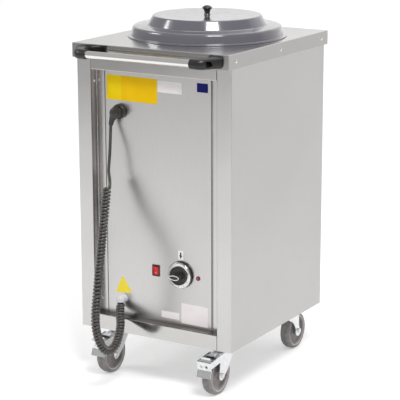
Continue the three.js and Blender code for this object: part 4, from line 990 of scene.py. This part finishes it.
def numbers():
    """Tick marks and the numbers 1 to 9 on the silver ring, clockwise from the top."""
    for step in range(TICKS):
        inner = TICK_SHORT if step * TICK_STEP % NUMBER_STEP else TICK_LONG
        tick = box((inner, -0.2, RING_FACE - 1), (TICK_OUTER, 0.2, RING_FACE + 0.12))
        make_piece(f"tick_{step + 1}", on_dial(tick, spin(90 - step * TICK_STEP, "Z")), grey_ink,
                   body="dial")
    for number in range(1, 10):
        text = bpy.data.curves.new(f"number_{number}", "FONT")
        text.body = str(number)
        text.size = NUMBER_SIZE * MM
        text.extrude = 0.06 * MM
        text.align_x = "CENTER"
        text.align_y = "CENTER"
        text.materials.append(grey_ink)
        piece = in_scene(f"number_{number}", text)
        turn = spin(-number * NUMBER_STEP, "Z")
        on_ring = turn @ shift(0, NUMBER_RADIUS * MM, (RING_FACE + 0.1) * MM)
        piece.matrix_world = shift(DIAL_X * MM, PANEL_FACE * MM, DIAL_Z * MM) @ TO_FRONT @ on_ring
        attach(piece, "dial")


SWITCH_LOW, SWITCH_HIGH = corners("switch_housing")
SWITCH = (SWITCH_LOW + SWITCH_HIGH) / 2


def switch_block(inset, corner, front, back):
    """A block on the switch's axis, drawn in from the frame's width and height."""
    width, height = SWITCH_HIGH.x - SWITCH_LOW.x - inset, SWITCH_HIGH.z - SWITCH_LOW.z - inset
    return moved(pulled(rounded_box(width, height, corner), front, back, "Y"),
                 shift(SWITCH.x, 0, SWITCH.z))


def switch():
    outer = eased(switch_block(0, 1.8, SWITCH_LOW.y, PANEL_FACE - 0.1), 0.5)
    bezel = make_piece("switch_frame", outer, dial_plastic, ["switch_housing"])
    carved(bezel, switch_block(5, 0.8, SWITCH_LOW.y - 3, PANEL_FACE + 3))
    housing = switch_block(3, 1, PANEL_FACE, SWITCH_HIGH.y)
    housing = make_piece("switch_box", housing, dial_plastic)
    carved(housing, switch_block(5, 0.8, PANEL_FACE - 3, SWITCH_HIGH.y - 4))
    dress("switch_key", red_key, edge=0.6, steps=3)
    switch_marks()


KEY_TILT = 7.0  # degrees at rest
KEY_PIVOT = 2.0  # behind the panel's face
KEY_WAIST = -3.0  # depth of the key's face at its middle, and at its ends, from the pivot
KEY_ENDS = -4.6


def switch_marks():
    """The usual bar and ring on the key's upper and lower half."""
    low, high = corners("switch_key")
    half = (high.z - low.z) / 2 / math.cos(math.radians(KEY_TILT))
    lean = math.degrees(math.atan2(KEY_WAIST - KEY_ENDS, half))
    place = (spin(KEY_TILT, "X"), shift(SWITCH.x, PANEL_FACE + KEY_PIVOT, SWITCH.z))
    bar = box((-0.5, -2.2, -0.2), (0.5, 2.2, 0.08))
    ring = turned([(1.5, -0.2), (2.4, -0.2), (2.4, 0.08), (1.5, 0.08)], 32, closed=True)
    for name, mark, side in (("bar", bar, 1), ("ring", ring, -1)):
        on_face = shift(0, (KEY_WAIST + KEY_ENDS) / 2, side * half / 2)
        placed = moved(mark, TO_FRONT, spin(side * lean, "X"), on_face, *place)
        make_piece(f"switch_mark_{name}", placed, mark_ink, body="switch_key_body")


def lamp():
    x, z = middle("pilot_lamp").x, middle("pilot_lamp").z
    bezel = rounded([(0, 0.1), (5.9, 0.1), (5.9, 1.4), (4.9, 2.2), (3.6, 1.6), (0, 1.6)], 0.4, 3)
    place = (TO_FRONT, shift(x, PANEL_FACE, z))
    make_piece("lamp_bezel", moved(turned(bezel, 48), *place), dark_lens, ["pilot_lamp"])
    lens = [(0, 1.0), (3.5, 1.0), (3.5, 2.0), (3.1, 3.0), (2.2, 3.8), (1.1, 4.2), (0, 4.3)]
    make_piece("lamp_lens", moved(turned(lens, 48), *place), red_lens)


NECK_REACH = 17.0  # of the gland's neck, in front of the panel
SOCKET_LIP = -5.4  # lower lip of the domed socket, from the gland's axis
GLAND_NUT_RADIUS = 13.0


def gland():
    """The cord's outlet: a round neck with a domed socket on it that opens downwards."""
    low, high = corners("cable_gland")
    x = (low.x + high.x) / 2
    radius = (high.x - low.x) / 2
    z = high.z - radius
    neck = rounded([(0, 0.3), (radius, 0.3), (radius, 3.6), (9.2, 5), (9, NECK_REACH),
                    (0, NECK_REACH)], [1, 1, 0.8, 1], 4)
    neck = moved(turned(neck, 48), TO_FRONT, shift(x, PANEL_FACE, z))
    make_piece("gland_neck", neck, white_plastic, ["cable_gland", "gland_nut"])
    skirt = radius - 0.9
    socket = rounded([(8.6, SOCKET_LIP), (skirt, SOCKET_LIP), (skirt, 1), (9.4, 6), (5.4, 9.4),
                      (0, 10.4)], [0.6, 5, 5, 4], 5)
    mouth = [(8.6, -2), (0, -2)]
    dome = moved(turned(socket[::-1] + mouth, 64), shift(x, PANEL_FACE - NECK_REACH, z))
    make_piece("gland_socket", dome, white_plastic)
    behind = PANEL_FACE + SHEET
    nut = hexagon(GLAND_NUT_RADIUS, behind + GAP, behind + 5, "Y")
    make_piece("gland_lock", moved(eased(nut, 0.6), shift(x, 0, z)), white_plastic)


# ------------------------ casters

ENDS = ("front_left", "front_right", "rear_left", "rear_right")
BOLT_HEAD_RADIUS = 7.2


def wheel(end):
    """Tyre, hub with its web, and a pale ring on each side, as (radius, place on the axle)."""
    place = (TO_X, shift(*middle(f"wheel_tyre_{end}")))
    tyre = rounded([(40.2, -12), (43, -13.5), (47, -13.5), (50, -7),
                    (50, 7), (47, 13.5), (43, 13.5), (40.2, 12)], [1.5, 2.5, 5, 5, 2.5, 1.5], 5)
    make_piece(f"tyre_{end}", moved(turned(tyre, 96, closed=True), *place), tyre_rubber,
               [f"wheel_tyre_{end}"], f"wheel_{end}", sharp=60)
    half = rounded([(4.6, 14.9), (10.4, 14.9), (11.4, 5.5), (33, 4.6), (35.4, 10.3), (40, 11.1)],
                   [1, 2.5, 3, 1.2], 4)
    core = half + [(p.x, -p.y) for p in half[::-1]]
    make_piece(f"wheel_{end}_core", moved(turned(core, 96, closed=True), *place), wheel_plastic,
               [f"wheel_core_{end}"], f"wheel_{end}", sharp=50)
    ring = rounded([(38.6, 10.7), (40.6, 10.7), (42.4, 12.9), (42.0, 13.9), (39.6, 12.9)], 0.5, 3)
    for name, side in SIDES:
        made = turned([(p.x, side * p.y) for p in ring], 96, closed=True)
        make_piece(f"wheel_ring_{end}_{name}", moved(made, *place), ring_plastic,
                   body=f"wheel_{end}")


def axle(end):
    """A bolt with its head, nut and two washers, drawn along its own length."""
    low, high = corners(f"caster_axle_{end}")
    half = (high.x - low.x) / 2
    rod = turned(rounded([(0, -half + 1), (3.9, -half + 1), (3.9, half), (0, half)], 0.6), 32)
    head = eased(hexagon(BOLT_HEAD_RADIUS, -half, -half + 5), 0.5)
    nut = eased(hexagon(BOLT_HEAD_RADIUS, half - 5.5, half - 0.6), 0.5)
    washers = [turned(rounded([(4, z), (8.6, z), (8.6, z + 1), (4, z + 1)], 0.2), 32, closed=True)
               for z in (-half + 5, half - 6.4)]
    whole = moved(joined(rod, head, nut, *washers), TO_X, shift(*((low + high) / 2)))
    make_piece(f"axle_{end}", whole, screw_steel, [f"caster_axle_{end}"], f"fork_{end}")


def casters():
    for end in ENDS:
        dress(f"caster_plate_{end}", zinc, edge=0.5)
        dress(f"caster_fork_{end}", zinc, edge=0.5, over=30)
        axle(end)
        wheel(end)
    for end in ENDS[:2]:
        dress(f"brake_pedal_{end}", zinc, edge=0.4, over=30)


# ------------------------ studio

# How strongly the backdrop glows for each kind of ray, on top of what the lamps give it.
RAY_GLOW = {"Is Camera Ray": 0.36, "Is Glossy Ray": 0.22, "Is Transmission Ray": 0.22}


def backdrop_paint():
    """White paint that also glows a little towards camera, metal and glass; its back is clear."""
    paint = material("backdrop_paint", (0.80, 0.80, 0.80), 0.7, specular=0.1)
    nodes, links = paint.node_tree.nodes, paint.node_tree.links
    path = nodes.new("ShaderNodeLightPath")
    glow = None
    for ray, strength in RAY_GLOW.items():
        part = nodes.new("ShaderNodeMath")
        part.operation = "MULTIPLY_ADD"
        links.new(path.outputs[ray], part.inputs[0])
        part.inputs[1].default_value = strength
        part.inputs[2].default_value = 0.0
        if glow:
            links.new(glow.outputs["Value"], part.inputs[2])
        glow = part
    shader_input(paint, "Emission Color").default_value = (1, 1, 1, 1)
    links.new(glow.outputs["Value"], shader_input(paint, "Emission Strength"))
    side = nodes.new("ShaderNodeNewGeometry")
    clear = nodes.new("ShaderNodeBsdfTransparent")
    one_sided = nodes.new("ShaderNodeMixShader")
    links.new(side.outputs["Backfacing"], one_sided.inputs["Fac"])
    links.new(nodes["Principled BSDF"].outputs["BSDF"], one_sided.inputs[1])
    links.new(clear.outputs["BSDF"], one_sided.inputs[2])
    links.new(one_sided.outputs["Shader"], nodes["Material Output"].inputs["Surface"])
    return paint


# Where the floor ends in front of the cart, as (x, y) from left to right, in metres. It is narrow
# there, so that the upper left of the polished front mirrors the grey room beside it.
FLOOR_EDGE = ((-5.5, -0.9), (-2.4, -3.4), (-2.35, -7.4), (5.5, -7.4))

ROOM_LIGHT = 0.45  # strength of the grey room
ROOM_SEEN = 0.72  # strength at which the camera sees it, as pale as the far floor


def studio():
    scene = bpy.context.scene
    scene.view_settings.view_transform = "Standard"

    sweep = bmesh.new()
    lines = []
    for x, edge in FLOOR_EDGE:
        line = rounded([(edge, 0), (3.2, 0), (3.2, 3.6)], 1.2, 24)
        lines.append([sweep.verts.new((x, p.x, p.y)) for p in line])
    for left, right in zip(lines, lines[1:]):
        for i in range(len(left) - 1):
            sweep.faces.new([left[i], right[i], right[i + 1], left[i + 1]])
    data = mesh_data("backdrop", sweep)
    data.shade_smooth()
    data.materials.append(backdrop_paint())
    in_scene("backdrop", data)

    world = bpy.data.worlds.new("studio")
    scene.world = world
    world.use_nodes = True
    nodes, links = world.node_tree.nodes, world.node_tree.links
    background = nodes["Background"]
    background.inputs["Color"].default_value = (1, 1, 1, 1)
    path = nodes.new("ShaderNodeLightPath")
    strength = nodes.new("ShaderNodeMath")
    strength.operation = "MULTIPLY_ADD"
    strength.inputs[1].default_value = ROOM_SEEN - ROOM_LIGHT
    strength.inputs[2].default_value = ROOM_LIGHT
    links.new(path.outputs["Is Camera Ray"], strength.inputs[0])
    links.new(strength.outputs["Value"], background.inputs["Strength"])

    lamp_box("key", (1.90, -1.88, 3.92), (0, 0, 0.8), 1.3, 110)
    lamp_box("left", (-3.6, -1.9, 3.0), (0, 0, 0.6), 1.4, 52)
    lamp_box("overhead", (0.2, 1.2, 3.8), (0, 0, 0.5), 3.4, 34)


def lamp_box(name, place, towards, size, power):
    data = bpy.data.lights.new(name, "AREA")
    data.shape = "SQUARE"
    data.size = size
    data.energy = power
    light = in_scene(name, data)
    light.location = place
    light.rotation_euler = (Vector(towards) - Vector(place)).to_track_quat("-Z", "Y").to_euler()


# ------------------------ the cart

cord_piece, cord_line = cord()
side_panels()
rails()
top()
push_bar()
cover()
well()
dress("control_panel", panel_steel, edge=0.4)
panel_gap_strips()
labels()
dial()
switch()
lamp()
gland()
casters()
plug_piece = dress("plug", plug_rubber, edge=0.8, over=30, steps=3, sharp=45)
for node, made_of, edge in (("base_pan", inner_steel, 0.4), ("back_panel", side_steel, 0.3),
                            ("terminal_block", nylon, 0.5), ("thermostat", nylon, 0.5)):
    dress(node, made_of, edge)
for number in (1, 2, 3):
    slots = frame["nodes"][f"carrier_spring_{number}"].data.materials
    slots.clear()
    slots.append(screw_steel)
studio()
